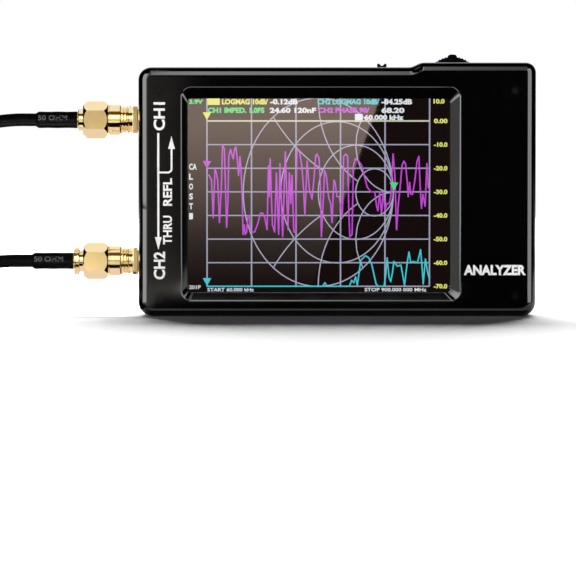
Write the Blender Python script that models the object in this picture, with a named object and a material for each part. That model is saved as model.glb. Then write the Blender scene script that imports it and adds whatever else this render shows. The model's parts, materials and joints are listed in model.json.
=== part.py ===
"""A pocket vector network analyser with two screw-on coaxial test leads, standing on its long edge.

Frame: +X is to the right of the screen, -Y out of the screen and +Z up. The origin is the middle of
the case's bottom edge. Every size is in metres.
"""

import math

import bmesh
import bpy
from mathutils import Matrix, Vector

MM = 0.001
GAP = 0.2 * MM  # air between pieces that rest on each other
CUT_GAP = 0.3 * MM  # air between a cut-out and the piece that stands in it
ROUND_STEPS = 24  # sides of a turned piece
CORNER_STEPS = 6  # sides of a quarter turn in an outline

# Case
CASE_WIDTH = 93.0 * MM
CASE_HEIGHT = 58.3 * MM
CASE_DEPTH = 16.5 * MM
STEP_RISE = 1.1 * MM  # the top edge is this much higher over the jog switch
STEP_START, STEP_END = 17.0 * MM, 20.0 * MM
CORNER_TOP_LEFT, CORNER_TOP_RIGHT, CORNER_BOTTOM = 3.0 * MM, 2.4 * MM, 3.4 * MM
EDGE_ROUND = 1.6 * MM
SIDE_WALL, FACE_WALL = 2.0 * MM, 1.8 * MM
LIP_HEIGHT, LIP_INSET = 1.3 * MM, 1.1 * MM
FRONT_Y, REAR_Y = -CASE_DEPTH / 2, CASE_DEPTH / 2
BOSS_X, BOSS_LOW_Z, BOSS_HIGH_Z = 41.6 * MM, 4.8 * MM, 52.8 * MM
BOSS_RADIUS, SCREW_RADIUS, SCREW_HEAD_RADIUS = 2.3 * MM, 1.15 * MM, 2.1 * MM
SCREW_HEAD_DEPTH = 1.6 * MM

# Board, which the two halves of the case hold on their seam
BOARD_THICK = 1.6 * MM
SEAM_Y = 0.6 * MM
BOARD_FRONT, BOARD_REAR = SEAM_Y - BOARD_THICK / 2, SEAM_Y + BOARD_THICK / 2
BOARD_INSET = SIDE_WALL + 0.5 * MM

# Screen: (left, right, bottom, top) of the window's rim and of its narrow inner end
WINDOW_RIM = (-36.4 * MM, 28.8 * MM, 3.7 * MM, 53.6 * MM)
WINDOW_INNER = (-35.0 * MM, 26.4 * MM, 5.6 * MM, 51.0 * MM)
WINDOW_RIM_CORNER, WINDOW_INNER_CORNER = 2.7 * MM, 0.8 * MM
WINDOW_SLOPE_DEPTH = 1.3 * MM
PANEL_WIDTH, PANEL_HEIGHT = 69.2 * MM, 50.0 * MM

# Coaxial ports on the left wall
PORT_Z = {1: 46.05 * MM, 2: 12.8 * MM}
PORT_X = -CASE_WIDTH / 2 - 0.35 * MM  # inner face of the jack's flange
FLANGE_SIDE, FLANGE_THICK = 6.2 * MM, 1.15 * MM
NECK_SIDE = 5.0 * MM
THREAD_RADIUS, THREAD_PITCH, THREAD_DEPTH = 3.175 * MM, 0.7056 * MM, 0.3 * MM
JACK_LENGTH = 7.5 * MM  # from the flange's outer face to the tip
JACK_BORE = 2.1 * MM
CONTACT_REACH = 4.6 * MM  # from the flange to the soldered end of the centre contact

# Test leads
NUT_ACROSS_FLATS = 7.5 * MM
NUT_LENGTH, NUT_COLLAR_LENGTH, NUT_COLLAR_RADIUS = 8.85 * MM, 2.95 * MM, 3.56 * MM
NUT_MOUTH_X = -50.85 * MM
NUT_BORE, NUT_REAR_BORE, NUT_REAR_WALL = 3.35 * MM, 2.75 * MM, 2.2 * MM
PLUG_NECK_RADIUS = 2.6 * MM
REAR_RING_RADIUS, REAR_RING_LENGTH = 3.33 * MM, 1.3 * MM
BOOT_RADIUS, BOOT_LENGTH = 1.87 * MM, 9.9 * MM
CABLE_RADIUS = 1.5 * MM
FAR_PLUG_Z = NUT_ACROSS_FLATS / 2 + 0.03 * MM

# Each route runs from the near boot's tail to the far boot's tail, in millimetres: points chosen by hand.
ROUTE_1 = [
    (-71.1, 0.6, 46.05), (-76.3, 0.6, 46.0), (-81.6, 0.7, 45.3), (-86.7, 0.9, 43.6), (-91.4, 1.3, 40.9),
    (-95.7, 1.8, 37.4), (-99.7, 2.3, 33.3), (-103.5, 2.8, 28.8), (-107.3, 3.3, 24.1), (-111.2, 3.8, 19.4),
    (-115.4, 4.3, 14.9), (-120.0, 4.7, 10.7), (-125.1, 5.1, 7.0), (-130.7, 5.4, 4.1), (-136.7, 5.6, 2.3),
    (-142.8, 5.6, 1.62), (-148.9, 5.6, 2.0), (-154.6, 5.6, 3.0), (-160.0, 5.6, 3.78),
]
ROUTE_2 = [
    (-72.3, 0.6, 12.8), (-77.8, 0.6, 12.75), (-83.3, 0.4, 12.1), (-88.7, 0.0, 10.6), (-94.0, -0.7, 8.5),
    (-99.3, -1.7, 6.2), (-104.6, -2.9, 4.1), (-110.0, -4.3, 2.5), (-115.5, -5.7, 1.7), (-121.1, -6.9, 1.56),
    (-126.8, -7.7, 1.55), (-132.6, -8.0, 1.55), (-138.4, -7.9, 1.55), (-144.2, -7.4, 1.55),
    (-150.0, -6.7, 1.56), (-155.8, -6.1, 1.6), (-161.6, -5.7, 1.75), (-167.4, -5.6, 2.3),
    (-172.9, -5.6, 3.1), (-178.2, -5.6, 3.78),
]

# Switches along the top edge
USB_X, USB_WIDTH, USB_HEIGHT, USB_LENGTH = -4.0 * MM, 8.9 * MM, 3.2 * MM, 7.3 * MM
USB_Y = BOARD_REAR + GAP + USB_HEIGHT / 2
SWITCH_X, SWITCH_Y, SWITCH_TRAVEL = 10.66 * MM, 3.0 * MM, 2.0 * MM
KNOB_WIDTH, KNOB_DEPTH, KNOB_PROUD = 2.2 * MM, 1.6 * MM, 0.65 * MM
JOG_X, JOG_Y, JOG_Z, JOG_RADIUS, JOG_THICK = 27.3 * MM, 3.0 * MM, 54.4 * MM, 6.2 * MM, 2.8 * MM
JOG_NUB_RADIUS, JOG_PIN_RADIUS, JOG_POST_THICK = 6.75 * MM, 0.9 * MM, 0.7 * MM

BATTERY_LOW = Vector((2.0, 2.3, 6.5)) * MM
BATTERY_HIGH = Vector((38.0, 5.9, 42.5)) * MM


def clear_scene():
    for obj in list(bpy.data.objects):
        bpy.data.objects.remove(obj)


def make_material(name, colour, roughness, metallic=0.0):
    material = bpy.data.materials.new(name)
    material.use_nodes = True
    shader = material.node_tree.nodes["Principled BSDF"]
    shader.inputs["Base Color"].default_value = (*colour, 1.0)
    shader.inputs["Roughness"].default_value = roughness
    shader.inputs["Metallic"].default_value = metallic
    return material


def mesh_of(name, bm, material=None, smooth=False):
    """The bmesh as a mesh whose faces point outwards."""
    bmesh.ops.recalc_face_normals(bm, faces=bm.faces)
    mesh = bpy.data.meshes.new(name)
    bm.to_mesh(mesh)
    bm.free()
    if material:
        mesh.materials.append(material)
    if smooth:
        mesh.shade_smooth()
        mesh.set_sharp_from_angle(angle=math.radians(35))
    return mesh


def place(name, mesh, location=(0, 0, 0), parent=None):
    obj = bpy.data.objects.new(name, mesh)
    obj.location = location
    obj.parent = parent
    bpy.context.scene.collection.objects.link(obj)
    return obj


def box_bmesh(low, high, bm=None):
    """A box between two corners, added to bm where one is given."""
    bm = bm or bmesh.new()
    made = bmesh.ops.create_cube(bm, size=1.0)["verts"]
    low, high = Vector(low), Vector(high)
    bmesh.ops.scale(bm, vec=high - low, verts=made)
    bmesh.ops.translate(bm, vec=(low + high) / 2, verts=made)
    return bm


def add_box(name, low, high, material, bevel=0.0):
    """A box object whose origin is its middle."""
    middle = (Vector(low) + Vector(high)) / 2
    obj = place(name, mesh_of(name, box_bmesh(Vector(low) - middle, Vector(high) - middle), material), middle)
    if bevel:
        rounding = obj.modifiers.new("Rounding", "BEVEL")
        rounding.width, rounding.segments = bevel, 2
    return obj


def ring_points(x, radius, across_flats=0.0):
    """A circle round the X axis, or with across_flats a hexagon with flats facing -Y and +Y."""
    points = []
    for step in range(ROUND_STEPS):
        angle = math.tau * step / ROUND_STEPS
        if across_flats:
            from_flat = (angle + math.pi / 6) % (math.pi / 3) - math.pi / 6
            radius = across_flats / 2 / math.cos(from_flat)
        points.append(Vector((x, radius * math.cos(angle), radius * math.sin(angle))))
    return points


def loft(rings, looped=False, bm=None):
    """A closed skin through rings of equally many points. It ends in flat caps, or looped meets its start."""
    bm = bm or bmesh.new()
    rows = [[bm.verts.new(point) for point in ring] for ring in rings]
    pairs = list(zip(rows, rows[1:])) + ([(rows[-1], rows[0])] if looped else [])
    for first, second in pairs:
        for i in range(len(first)):
            j = (i + 1) % len(first)
            bm.faces.new((first[i], first[j], second[j], second[i]))
    if not looped:
        bm.faces.new(rows[0])
        bm.faces.new(rows[-1])
    return bm


def turned(profile, looped=False, bm=None):
    """A piece turned round the X axis: its profile is a list of (x, radius)."""
    return loft([ring_points(x, radius) for x, radius in profile], looped, bm)


def arc(centre_x, centre_z, radius, start, end):
    """Points (x, z) of a quarter turn, with its angles in degrees."""
    angles = [math.radians(start + (end - start) * i / CORNER_STEPS) for i in range(CORNER_STEPS + 1)]
    return [(centre_x + radius * math.cos(a), centre_z + radius * math.sin(a)) for a in angles]


def case_outline(inset):
    """The case's outline in X and Z, this far inside its outer wall, with the raised step at top right."""
    left, right, bottom = -CASE_WIDTH / 2 + inset, CASE_WIDTH / 2 - inset, inset
    top, raised_top = CASE_HEIGHT - inset, CASE_HEIGHT + STEP_RISE - inset
    least = 0.3 * MM
    low, high_left, high_right = (
        max(radius - inset, least) for radius in (CORNER_BOTTOM, CORNER_TOP_LEFT, CORNER_TOP_RIGHT)
    )
    points = arc(left + low, bottom + low, low, 180, 270)
    points += arc(right - low, bottom + low, low, 270, 360)
    points += arc(right - high_right, raised_top - high_right, high_right, 0, 90)
    for i in range(CORNER_STEPS + 1):
        share = i / CORNER_STEPS
        x = STEP_END + (STEP_START - STEP_END) * share
        points.append((x, top + STEP_RISE * (1 + math.cos(math.pi * share)) / 2))
    points += arc(left + high_left, top - high_left, high_left, 90, 180)
    return points


def rounded_rectangle(bounds, corner):
    left, right, bottom, top = bounds
    points = arc(left + corner, bottom + corner, corner, 180, 270)
    points += arc(right - corner, bottom + corner, corner, 270, 360)
    points += arc(right - corner, top - corner, corner, 0, 90)
    points += arc(left + corner, top - corner, corner, 90, 180)
    return points


def at_depth(outline, y):
    return [Vector((x, y, z)) for x, z in outline]


def boolean(obj, operation, cutter_mesh, label):
    """Joins or cuts obj with a mesh, which stays in the scene as a hidden helper."""
    helper = place(f"{obj.name}_{label}", cutter_mesh)
    helper.hide_render = True
    helper.display_type = "WIRE"
    modifier = obj.modifiers.new(label, "BOOLEAN")
    modifier.operation = operation
    modifier.object = helper


def rounded_half(seam_y, face_y):
    """Half of the case as a solid: straight from the seam, then round to its face."""
    side = 1 if face_y > seam_y else -1
    rings = [at_depth(case_outline(0.0), seam_y)]
    steps = 4
    for i in range(steps + 1):
        angle = math.pi / 2 * i / steps
        inset = EDGE_ROUND * (1 - math.cos(angle))
        rings.append(at_depth(case_outline(inset), face_y - side * EDGE_ROUND * (1 - math.sin(angle))))
    return loft(rings)


def boss_centres():
    return [(x, z) for z in (BOSS_LOW_Z, BOSS_HIGH_Z) for x in (-BOSS_X, BOSS_X)]


def posts(start_y, end_y, radius, centres):
    """Round posts along Y, all in one bmesh."""
    bm = bmesh.new()
    for x, z in centres:
        rings = [[Vector((x + p.y, y, z + p.z)) for p in ring_points(0, radius)] for y in (start_y, end_y)]
        loft(rings, bm=bm)
    return bm


def port_slots(bm=None):
    """Cutters for the two square necks of the coaxial jacks, through the left wall and its lip."""
    bm = bm or bmesh.new()
    half = NECK_SIDE / 2 + CUT_GAP
    for z in PORT_Z.values():
        box_bmesh(
            (-CASE_WIDTH / 2 - 1 * MM, SEAM_Y - half, z - half),
            (-CASE_WIDTH / 2 + SIDE_WALL + 1 * MM, SEAM_Y + half, z + half),
            bm,
        )
    return bm


def front_shell(material):
    seam = SEAM_Y - CUT_GAP / 2
    obj = place("front_shell", mesh_of("front_shell", rounded_half(seam, FRONT_Y), material, smooth=True))
    inner_face = FRONT_Y + FACE_WALL
    past_seam = seam + 2 * MM
    hollow = loft([at_depth(case_outline(SIDE_WALL), y) for y in (inner_face, past_seam)])
    boolean(obj, "DIFFERENCE", mesh_of("hollow", hollow), "hollow")
    rebate_start = SEAM_Y - LIP_HEIGHT - CUT_GAP
    rebate = loft([at_depth(case_outline(LIP_INSET - CUT_GAP), y) for y in (rebate_start, past_seam)])
    boolean(obj, "DIFFERENCE", mesh_of("rebate", rebate), "rebate")
    pillars = posts(inner_face - 1 * MM, BOARD_FRONT - GAP, BOSS_RADIUS, boss_centres())
    boolean(obj, "UNION", mesh_of("pillars", pillars), "pillars")
    rim = rounded_rectangle(WINDOW_RIM, WINDOW_RIM_CORNER)
    inner = rounded_rectangle(WINDOW_INNER, WINDOW_INNER_CORNER)
    slope_end = FRONT_Y + WINDOW_SLOPE_DEPTH
    window = loft(
        [
            at_depth(rim, FRONT_Y - 1 * MM),
            at_depth(rim, FRONT_Y),
            at_depth(inner, slope_end),
            at_depth(inner, inner_face + 1 * MM),
        ]
    )
    boolean(obj, "DIFFERENCE", mesh_of("window", window), "window")
    cuts = posts(inner_face + 0.5 * MM, past_seam, SCREW_RADIUS + CUT_GAP, boss_centres())
    boolean(obj, "DIFFERENCE", mesh_of("cuts", port_slots(cuts)), "cuts")


def rear_shell(material):
    seam = SEAM_Y + CUT_GAP / 2
    obj = place("rear_shell", mesh_of("rear_shell", rounded_half(seam, REAR_Y), material, smooth=True))
    lip_y = SEAM_Y - LIP_HEIGHT
    lip = loft([at_depth(case_outline(LIP_INSET), y) for y in (lip_y, seam + 1 * MM)])
    boolean(obj, "UNION", mesh_of("lip", lip), "lip")
    inner_face = REAR_Y - FACE_WALL
    hollow = loft([at_depth(case_outline(SIDE_WALL), y) for y in (lip_y - 1 * MM, inner_face)])
    boolean(obj, "DIFFERENCE", mesh_of("hollow", hollow), "hollow")
    pillars = posts(BOARD_REAR + GAP, inner_face + 1 * MM, BOSS_RADIUS + 0.4 * MM, boss_centres())
    boolean(obj, "UNION", mesh_of("pillars", pillars), "pillars")
    holes = posts(lip_y - 1 * MM, REAR_Y + 1 * MM, SCREW_RADIUS + CUT_GAP, boss_centres())
    boolean(obj, "DIFFERENCE", mesh_of("holes", port_slots(holes)), "holes")
    head_seat = REAR_Y - SCREW_HEAD_DEPTH - 0.8 * MM
    seats = posts(head_seat, REAR_Y + 2 * MM, SCREW_HEAD_RADIUS + CUT_GAP, boss_centres())
    boolean(obj, "DIFFERENCE", mesh_of("seats", top_slots(seats)), "seats")


def top_slots(bm):
    """Cutters for the charging socket, the power knob's travel and the jog lever."""
    low, high = CASE_HEIGHT - SIDE_WALL - 1 * MM, CASE_HEIGHT + 2 * MM
    usb_x, usb_y = USB_WIDTH / 2 + CUT_GAP, USB_HEIGHT / 2 + CUT_GAP
    usb = [(USB_X - usb_x, USB_Y - usb_y, low), (USB_X + usb_x, USB_Y + usb_y, high)]
    knob_x, knob_y = KNOB_WIDTH / 2 + CUT_GAP, KNOB_DEPTH / 2 + CUT_GAP
    knob = [(SWITCH_X - knob_x, SWITCH_Y - knob_y, low), (SWITCH_X + SWITCH_TRAVEL + knob_x, SWITCH_Y + knob_y, high)]
    for corners in (usb, knob):
        box_bmesh(*corners, bm)
    radius, half = JOG_RADIUS + 0.4 * MM, JOG_THICK / 2 + CUT_GAP
    rings = [
        [Vector((JOG_X + p.y, y, JOG_Z + p.z)) for p in ring_points(0, radius)]
        for y in (JOG_Y - half, JOG_Y + half)
    ]
    return loft(rings, bm=bm)


def screen_stack(materials):
    """Foam gasket, touch panel, liquid crystal glass, backlight frame and ribbon, from front to back."""
    middle_x = (WINDOW_INNER[0] + WINDOW_INNER[1]) / 2
    middle_z = (WINDOW_INNER[2] + WINDOW_INNER[3]) / 2
    outer = (
        middle_x - PANEL_WIDTH / 2, middle_x + PANEL_WIDTH / 2,
        middle_z - PANEL_HEIGHT / 2, middle_z + PANEL_HEIGHT / 2,
    )
    opening = (WINDOW_INNER[0] - 0.6 * MM, WINDOW_INNER[1] + 0.6 * MM, WINDOW_INNER[2] - 0.6 * MM, WINDOW_INNER[3] + 0.6 * MM)
    front = FRONT_Y + FACE_WALL + GAP
    corner = 1.0 * MM
    faces = []
    for y in (front, front + 0.4 * MM):
        faces.append(at_depth(rounded_rectangle(outer, corner), y))
    for y in (front + 0.4 * MM, front):
        faces.append(at_depth(rounded_rectangle(opening, corner), y))
    place("screen_gasket", mesh_of("screen_gasket", loft(faces, looped=True), materials["foam"]))
    layers = (
        ("touch_panel", 1.0 * MM, 0.0, "glass"),
        ("lcd_glass", 1.0 * MM, 0.4 * MM, "glass"),
        ("backlight_frame", 1.8 * MM, 0.2 * MM, "frame"),
    )
    y = front + 0.4 * MM + GAP
    for name, thick, inset, slot in layers:
        low = (outer[0] + inset, y, outer[2] + inset)
        high = (outer[1] - inset, y + thick, outer[3] - inset)
        add_box(name, low, high, materials[slot])
        y += thick + GAP
    ribbon_low = (outer[1] + GAP, y - 1.4 * MM, middle_z - 9 * MM)
    ribbon_high = (outer[1] + 4.5 * MM, y - 1.1 * MM, middle_z + 9 * MM)
    add_box("lcd_ribbon", ribbon_low, ribbon_high, materials["ribbon"])


def main_board(material):
    left, right = -CASE_WIDTH / 2 + BOARD_INSET, CASE_WIDTH / 2 - BOARD_INSET
    outline = rounded_rectangle((left, right, BOARD_INSET, CASE_HEIGHT - BOARD_INSET), 1.0 * MM)
    board = loft([at_depth(outline, y) for y in (BOARD_FRONT, BOARD_REAR)])
    obj = place("main_board", mesh_of("main_board", board, material))
    holes = posts(BOARD_FRONT - 1 * MM, BOARD_REAR + 1 * MM, SCREW_RADIUS + CUT_GAP, boss_centres())
    for z in PORT_Z.values():
        low = (left - 1 * MM, BOARD_FRONT - 1 * MM, z - 0.7 * MM)
        box_bmesh(low, (PORT_X + CONTACT_REACH + CUT_GAP, BOARD_REAR + 1 * MM, z + 0.7 * MM), holes)
    boolean(obj, "DIFFERENCE", mesh_of("holes", holes), "holes")


def shield_can(name, low_z, high_z, material):
    """A tinned five-sided box over one receiver, open towards the board."""
    low = Vector((-38.0 * MM, BOARD_REAR + GAP, low_z))
    high = Vector((-16.0 * MM, BOARD_REAR + GAP + 2.6 * MM, high_z))
    wall = Vector((0.4, 0.4, 0.4)) * MM
    middle = (low + high) / 2
    obj = place(name, mesh_of(name, box_bmesh(low - middle, high - middle), material), middle)
    hollow = box_bmesh(low + wall - Vector((0, 1 * MM, 0)), high - wall)
    boolean(obj, "DIFFERENCE", mesh_of("hollow", hollow), "hollow")


def board_parts(materials):
    shield_can("rf_shield_1", 33.0 * MM, 49.0 * MM, materials["tinned"])
    shield_can("rf_shield_2", 8.0 * MM, 24.0 * MM, materials["tinned"])
    chips = (
        ("mixer_chip_1", -28.0, 41.0, 5.0, 4.0, 1.5),
        ("mixer_chip_2", -28.0, 16.0, 5.0, 4.0, 1.5),
        ("processor_chip", -7.0, 24.0, 7.0, 7.0, 1.4),
        ("clock_chip", -33.0, 28.5, 3.0, 3.0, 1.0),
        ("codec_chip", -24.0, 28.5, 5.0, 5.0, 0.9),
    )
    for name, x, z, width, height, tall in chips:
        low = (x * MM - width / 2 * MM, BOARD_REAR + GAP, z * MM - height / 2 * MM)
        high = (x * MM + width / 2 * MM, BOARD_REAR + GAP + tall * MM, z * MM + height / 2 * MM)
        add_box(name, low, high, materials["chip"])
    y = BOARD_REAR + GAP
    add_box("oscillator_can", (-9.0 * MM, y, 32.0 * MM), (-5.8 * MM, y + 1.0 * MM, 34.5 * MM), materials["tinned"])


def battery(materials):
    """A soft-pack cell glued to the rear shell, with its two wires run to a plug on the board."""
    add_box("battery_cell", BATTERY_LOW, BATTERY_HIGH, materials["pouch"], bevel=0.8 * MM)
    pad_low = (BATTERY_LOW.x + 4 * MM, BATTERY_HIGH.y + 0.15 * MM, BATTERY_LOW.z + 4 * MM)
    pad_high = (BATTERY_HIGH.x - 4 * MM, REAR_Y - FACE_WALL - 0.1 * MM, BATTERY_HIGH.z - 4 * MM)
    add_box("battery_pad", pad_low, pad_high, materials["foam"])
    y = BOARD_REAR + GAP
    low_x, high_x, z = -13.0 * MM, -8.5 * MM, 46.5 * MM
    add_box("battery_socket", (low_x, y, z - 3.0 * MM), (high_x, y + 3.4 * MM, z + 3.0 * MM), materials["white"])
    plug_x = high_x + GAP
    plug_low, plug_high = (plug_x, y + 0.4 * MM, z - 2.6 * MM), (plug_x + 2.6 * MM, y + 3.0 * MM, z + 2.6 * MM)
    add_box("battery_plug", plug_low, plug_high, materials["white"])
    for name, offset, slot in (("battery_wire_red", 1.0 * MM, "red"), ("battery_wire_black", -1.0 * MM, "black")):
        start = Vector((plug_x + 2.8 * MM, y + 1.7 * MM, z + offset))
        end = Vector((BATTERY_LOW.x + 7 * MM + offset * 2, y + 2.4 * MM, BATTERY_HIGH.z + 0.4 * MM))
        corner = Vector((end.x, end.y, start.z))
        bends = [(1 - t) ** 2 * start + 2 * t * (1 - t) * corner + t * t * end for t in (i / 8 for i in range(9))]
        tube(name, bends, 0.5 * MM, materials[slot])


def tube(name, points, radius, material):
    """A round cord through points, which may be Vectors or (x, y, z)."""
    curve = bpy.data.curves.new(name, "CURVE")
    curve.dimensions = "3D"
    curve.bevel_depth = radius
    curve.bevel_resolution = 2
    curve.use_fill_caps = True
    spline = curve.splines.new("POLY")
    spline.points.add(len(points) - 1)
    for target, point in zip(spline.points, points):
        target.co = (*point, 1.0)
    curve.materials.append(material)
    return place(name, curve)


def usb_socket(materials):
    """A reversible charging socket: a drawn steel shell with a plastic tongue in it."""
    mouth_z = CASE_HEIGHT - 0.6 * MM
    back_z = mouth_z - USB_LENGTH
    half_x, half_y = USB_WIDTH / 2, USB_HEIGHT / 2
    wall = 0.3 * MM

    def stadium(shrink, z):
        bounds = (-half_x + shrink, half_x - shrink, -half_y + shrink, half_y - shrink)
        outline = rounded_rectangle(bounds, half_y - shrink - 0.05 * MM)
        return [Vector((x, y, z)) for x, y in outline]

    rings = [stadium(0, 0), stadium(0, USB_LENGTH), stadium(wall, USB_LENGTH), stadium(wall, 0.8 * MM)]
    bm = loft(rings)
    place("usb_socket", mesh_of("usb_socket", bm, materials["steel"], smooth=True), (USB_X, USB_Y, back_z))
    low = (USB_X - 3.3 * MM, USB_Y - 0.35 * MM, back_z + 0.8 * MM + GAP)
    high = (USB_X + 3.3 * MM, USB_Y + 0.35 * MM, mouth_z - 1.2 * MM)
    add_box("usb_tongue", low, high, materials["black"])


def power_switch(materials):
    body_top = CASE_HEIGHT - SIDE_WALL - 0.7 * MM
    y = BOARD_REAR + GAP
    middle_x = SWITCH_X + SWITCH_TRAVEL / 2
    low = (middle_x - 3.6 * MM, y, body_top - 2.8 * MM)
    high = (middle_x + 3.6 * MM, y + 3.0 * MM, body_top)
    add_box("power_switch_body", low, high, materials["steel"])
    top = CASE_HEIGHT + KNOB_PROUD
    height = top - body_top - GAP
    bm = box_bmesh((-KNOB_WIDTH / 2, -KNOB_DEPTH / 2, 0), (KNOB_WIDTH / 2, KNOB_DEPTH / 2, height))
    knob = place("power_switch_knob", mesh_of("power_switch_knob", bm, materials["black"]), (SWITCH_X, SWITCH_Y, body_top + GAP))
    groove = box_bmesh((-0.35 * MM, -1.5 * MM, height - 0.4 * MM), (0.35 * MM, 1.5 * MM, height + 1 * MM))
    helper_mesh = mesh_of("groove", groove)
    helper_mesh.transform(knob.matrix_basis)
    boolean(knob, "DIFFERENCE", helper_mesh, "groove")


def jog_switch(materials):
    """A three-way jog: the lever rocks on the carriage's pin, and the carriage sinks into the body."""
    body_top = 49.5 * MM
    post_low, post_high = JOG_Y + JOG_THICK / 2 + CUT_GAP, JOG_Y + JOG_THICK / 2 + CUT_GAP + JOG_POST_THICK
    low = (JOG_X - 5 * MM, BOARD_REAR + GAP, 44.0 * MM)
    body = add_box("jog_body", low, (JOG_X + 5 * MM, post_high + 0.8 * MM, body_top), materials["steel"])
    pocket = box_bmesh(
        (JOG_X - 1.2 * MM - CUT_GAP, post_low - CUT_GAP, body_top - 2.5 * MM),
        (JOG_X + 1.2 * MM + CUT_GAP, post_high + CUT_GAP, body_top + 1 * MM),
    )
    boolean(body, "DIFFERENCE", mesh_of("pocket", pocket), "pocket")
    axis = place("jog_axis", None, (JOG_X, JOG_Y, JOG_Z))
    foot = body_top - 1.5 * MM - JOG_Z
    post = box_bmesh((-1.2 * MM, post_low - JOG_Y, foot), (1.2 * MM, post_high - JOG_Y, 1.5 * MM))
    carriage = place("jog_carriage", mesh_of("jog_carriage", post, materials["steel"]), parent=axis)
    pin = [
        [Vector((JOG_X + p.y, y, JOG_Z + p.z)) for p in ring_points(0, JOG_PIN_RADIUS)]
        for y in (JOG_Y - JOG_THICK / 2, post_low + JOG_POST_THICK / 2)
    ]
    boolean(carriage, "UNION", mesh_of("pin", loft(pin)), "pin")
    lever = place("jog_lever", mesh_of("jog_lever", jog_lever_bmesh(), materials["black"], smooth=True), parent=axis)
    bore = posts(JOG_Y - 5 * MM, JOG_Y + 5 * MM, JOG_PIN_RADIUS + 0.15 * MM, [(JOG_X, JOG_Z)])
    boolean(lever, "DIFFERENCE", mesh_of("bore", bore), "bore")


def jog_lever_bmesh():
    """A ribbed fan round its pin, with a raised nub at the top."""
    spread, ribs = math.radians(64), 16
    nub_half = math.radians(9)
    points = []
    for i in range(2 * ribs + 1):
        angle = spread * (1 - i / ribs)
        radius = JOG_RADIUS - (0.2 * MM if i % 2 else 0.0)
        if abs(angle) < nub_half:
            radius = JOG_NUB_RADIUS
        points.append((radius * math.sin(angle), radius * math.cos(angle)))
    hub = 2.2 * MM
    for i in range(9):
        angle = -spread - (math.tau - 2 * spread) * i / 8
        points.append((hub * math.sin(angle), hub * math.cos(angle)))
    return loft([[Vector((x, y, z)) for x, z in points] for y in (-JOG_THICK / 2, JOG_THICK / 2)])


def coaxial_jack(number, materials):
    """A gold-plated jack: square flange outside the wall, threaded barrel, and a neck that grips the board's edge."""
    tip = -FLANGE_THICK - JACK_LENGTH
    place_at = Vector((PORT_X, SEAM_Y, PORT_Z[number]))
    name = f"port_{number}"
    half, neck, finger = FLANGE_SIDE / 2, NECK_SIDE / 2, 1.0 * MM
    flange = box_bmesh((-FLANGE_THICK, -half, -half), (0, half, half))
    jack = place(f"{name}_jack", mesh_of("jack", flange, materials["gold"], smooth=True), place_at)
    profile = [(-0.5 * MM, THREAD_RADIUS - THREAD_DEPTH)]
    for i in range(int(JACK_LENGTH / THREAD_PITCH) - 1):
        x = -FLANGE_THICK - 0.3 * MM - THREAD_PITCH * i
        profile += [(x, THREAD_RADIUS - THREAD_DEPTH), (x - THREAD_PITCH / 2, THREAD_RADIUS)]
    profile += [(tip + 0.3 * MM, THREAD_RADIUS - 0.05 * MM), (tip, THREAD_RADIUS - THREAD_DEPTH)]
    fingers = [
        box_bmesh((2.0 * MM, side * 1.55 * MM - finger / 2, z), (6.0 * MM, side * 1.55 * MM + finger / 2, z + finger))
        for side in (-1, 1)
        for z in (-neck, neck - finger)
    ]
    added = {"barrel": turned(profile), "neck": box_bmesh((-0.5 * MM, -neck, -neck), (2.6 * MM, neck, neck))}
    added |= {f"finger_{i}": bm for i, bm in enumerate(fingers, start=1)}
    bore = [(tip - 1 * MM, JACK_BORE), (2.0 * MM, JACK_BORE), (2.0 * MM, 1.1 * MM), (3.0 * MM, 1.1 * MM)]
    steps = [("UNION", label, bm) for label, bm in added.items()] + [("DIFFERENCE", "bore", turned(bore))]
    for operation, label, bm in steps:
        mesh = mesh_of(label, bm)
        mesh.transform(Matrix.Translation(place_at))
        boolean(jack, operation, mesh, label)
    outer, inner = JACK_BORE - 0.1 * MM, 1.0 * MM
    front, rear = tip + 2.0 * MM, 1.8 * MM
    sleeve = turned([(front, outer), (rear, outer), (rear, inner), (front, inner)], looped=True)
    place(f"{name}_insulator", mesh_of("insulator", sleeve, materials["ptfe"], smooth=True), place_at)
    start, shoulder, end, depth = tip + 2.2 * MM, 2.3 * MM, CONTACT_REACH, tip + 5.0 * MM
    profile = [(start, 0.85 * MM), (shoulder, 0.85 * MM), (shoulder, 0.35 * MM), (end, 0.35 * MM)]
    contact = turned(profile)
    contact_object = place(f"{name}_contact", mesh_of("contact", contact, materials["gold"], smooth=True), place_at)
    socket = mesh_of("socket", turned([(tip, 0.6 * MM), (depth, 0.6 * MM)]))
    socket.transform(Matrix.Translation(place_at))
    boolean(contact_object, "DIFFERENCE", socket, "socket")


def nut_mesh(material):
    """The plug's captive nut, mouth at the origin and body along -X: collar, hexagon, bore and rear wall."""
    hex_start, rear, chamfer = -NUT_COLLAR_LENGTH, -NUT_LENGTH, 0.5 * MM
    rings = [
        ring_points(0, NUT_COLLAR_RADIUS - 0.15 * MM),
        ring_points(-0.15 * MM, NUT_COLLAR_RADIUS),
        ring_points(hex_start, NUT_COLLAR_RADIUS),
        ring_points(hex_start - 0.01 * MM, NUT_ACROSS_FLATS / 2 - 0.05 * MM),
        ring_points(hex_start - chamfer, 0, NUT_ACROSS_FLATS),
        ring_points(rear + chamfer, 0, NUT_ACROSS_FLATS),
        ring_points(rear, NUT_ACROSS_FLATS / 2 - 0.05 * MM),
        ring_points(rear, NUT_REAR_BORE),
        ring_points(rear + NUT_REAR_WALL, NUT_REAR_BORE),
        ring_points(rear + NUT_REAR_WALL, NUT_BORE),
        ring_points(0, NUT_BORE),
    ]
    return mesh_of("coupling_nut", loft(rings, looped=True), material, smooth=True)


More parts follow.
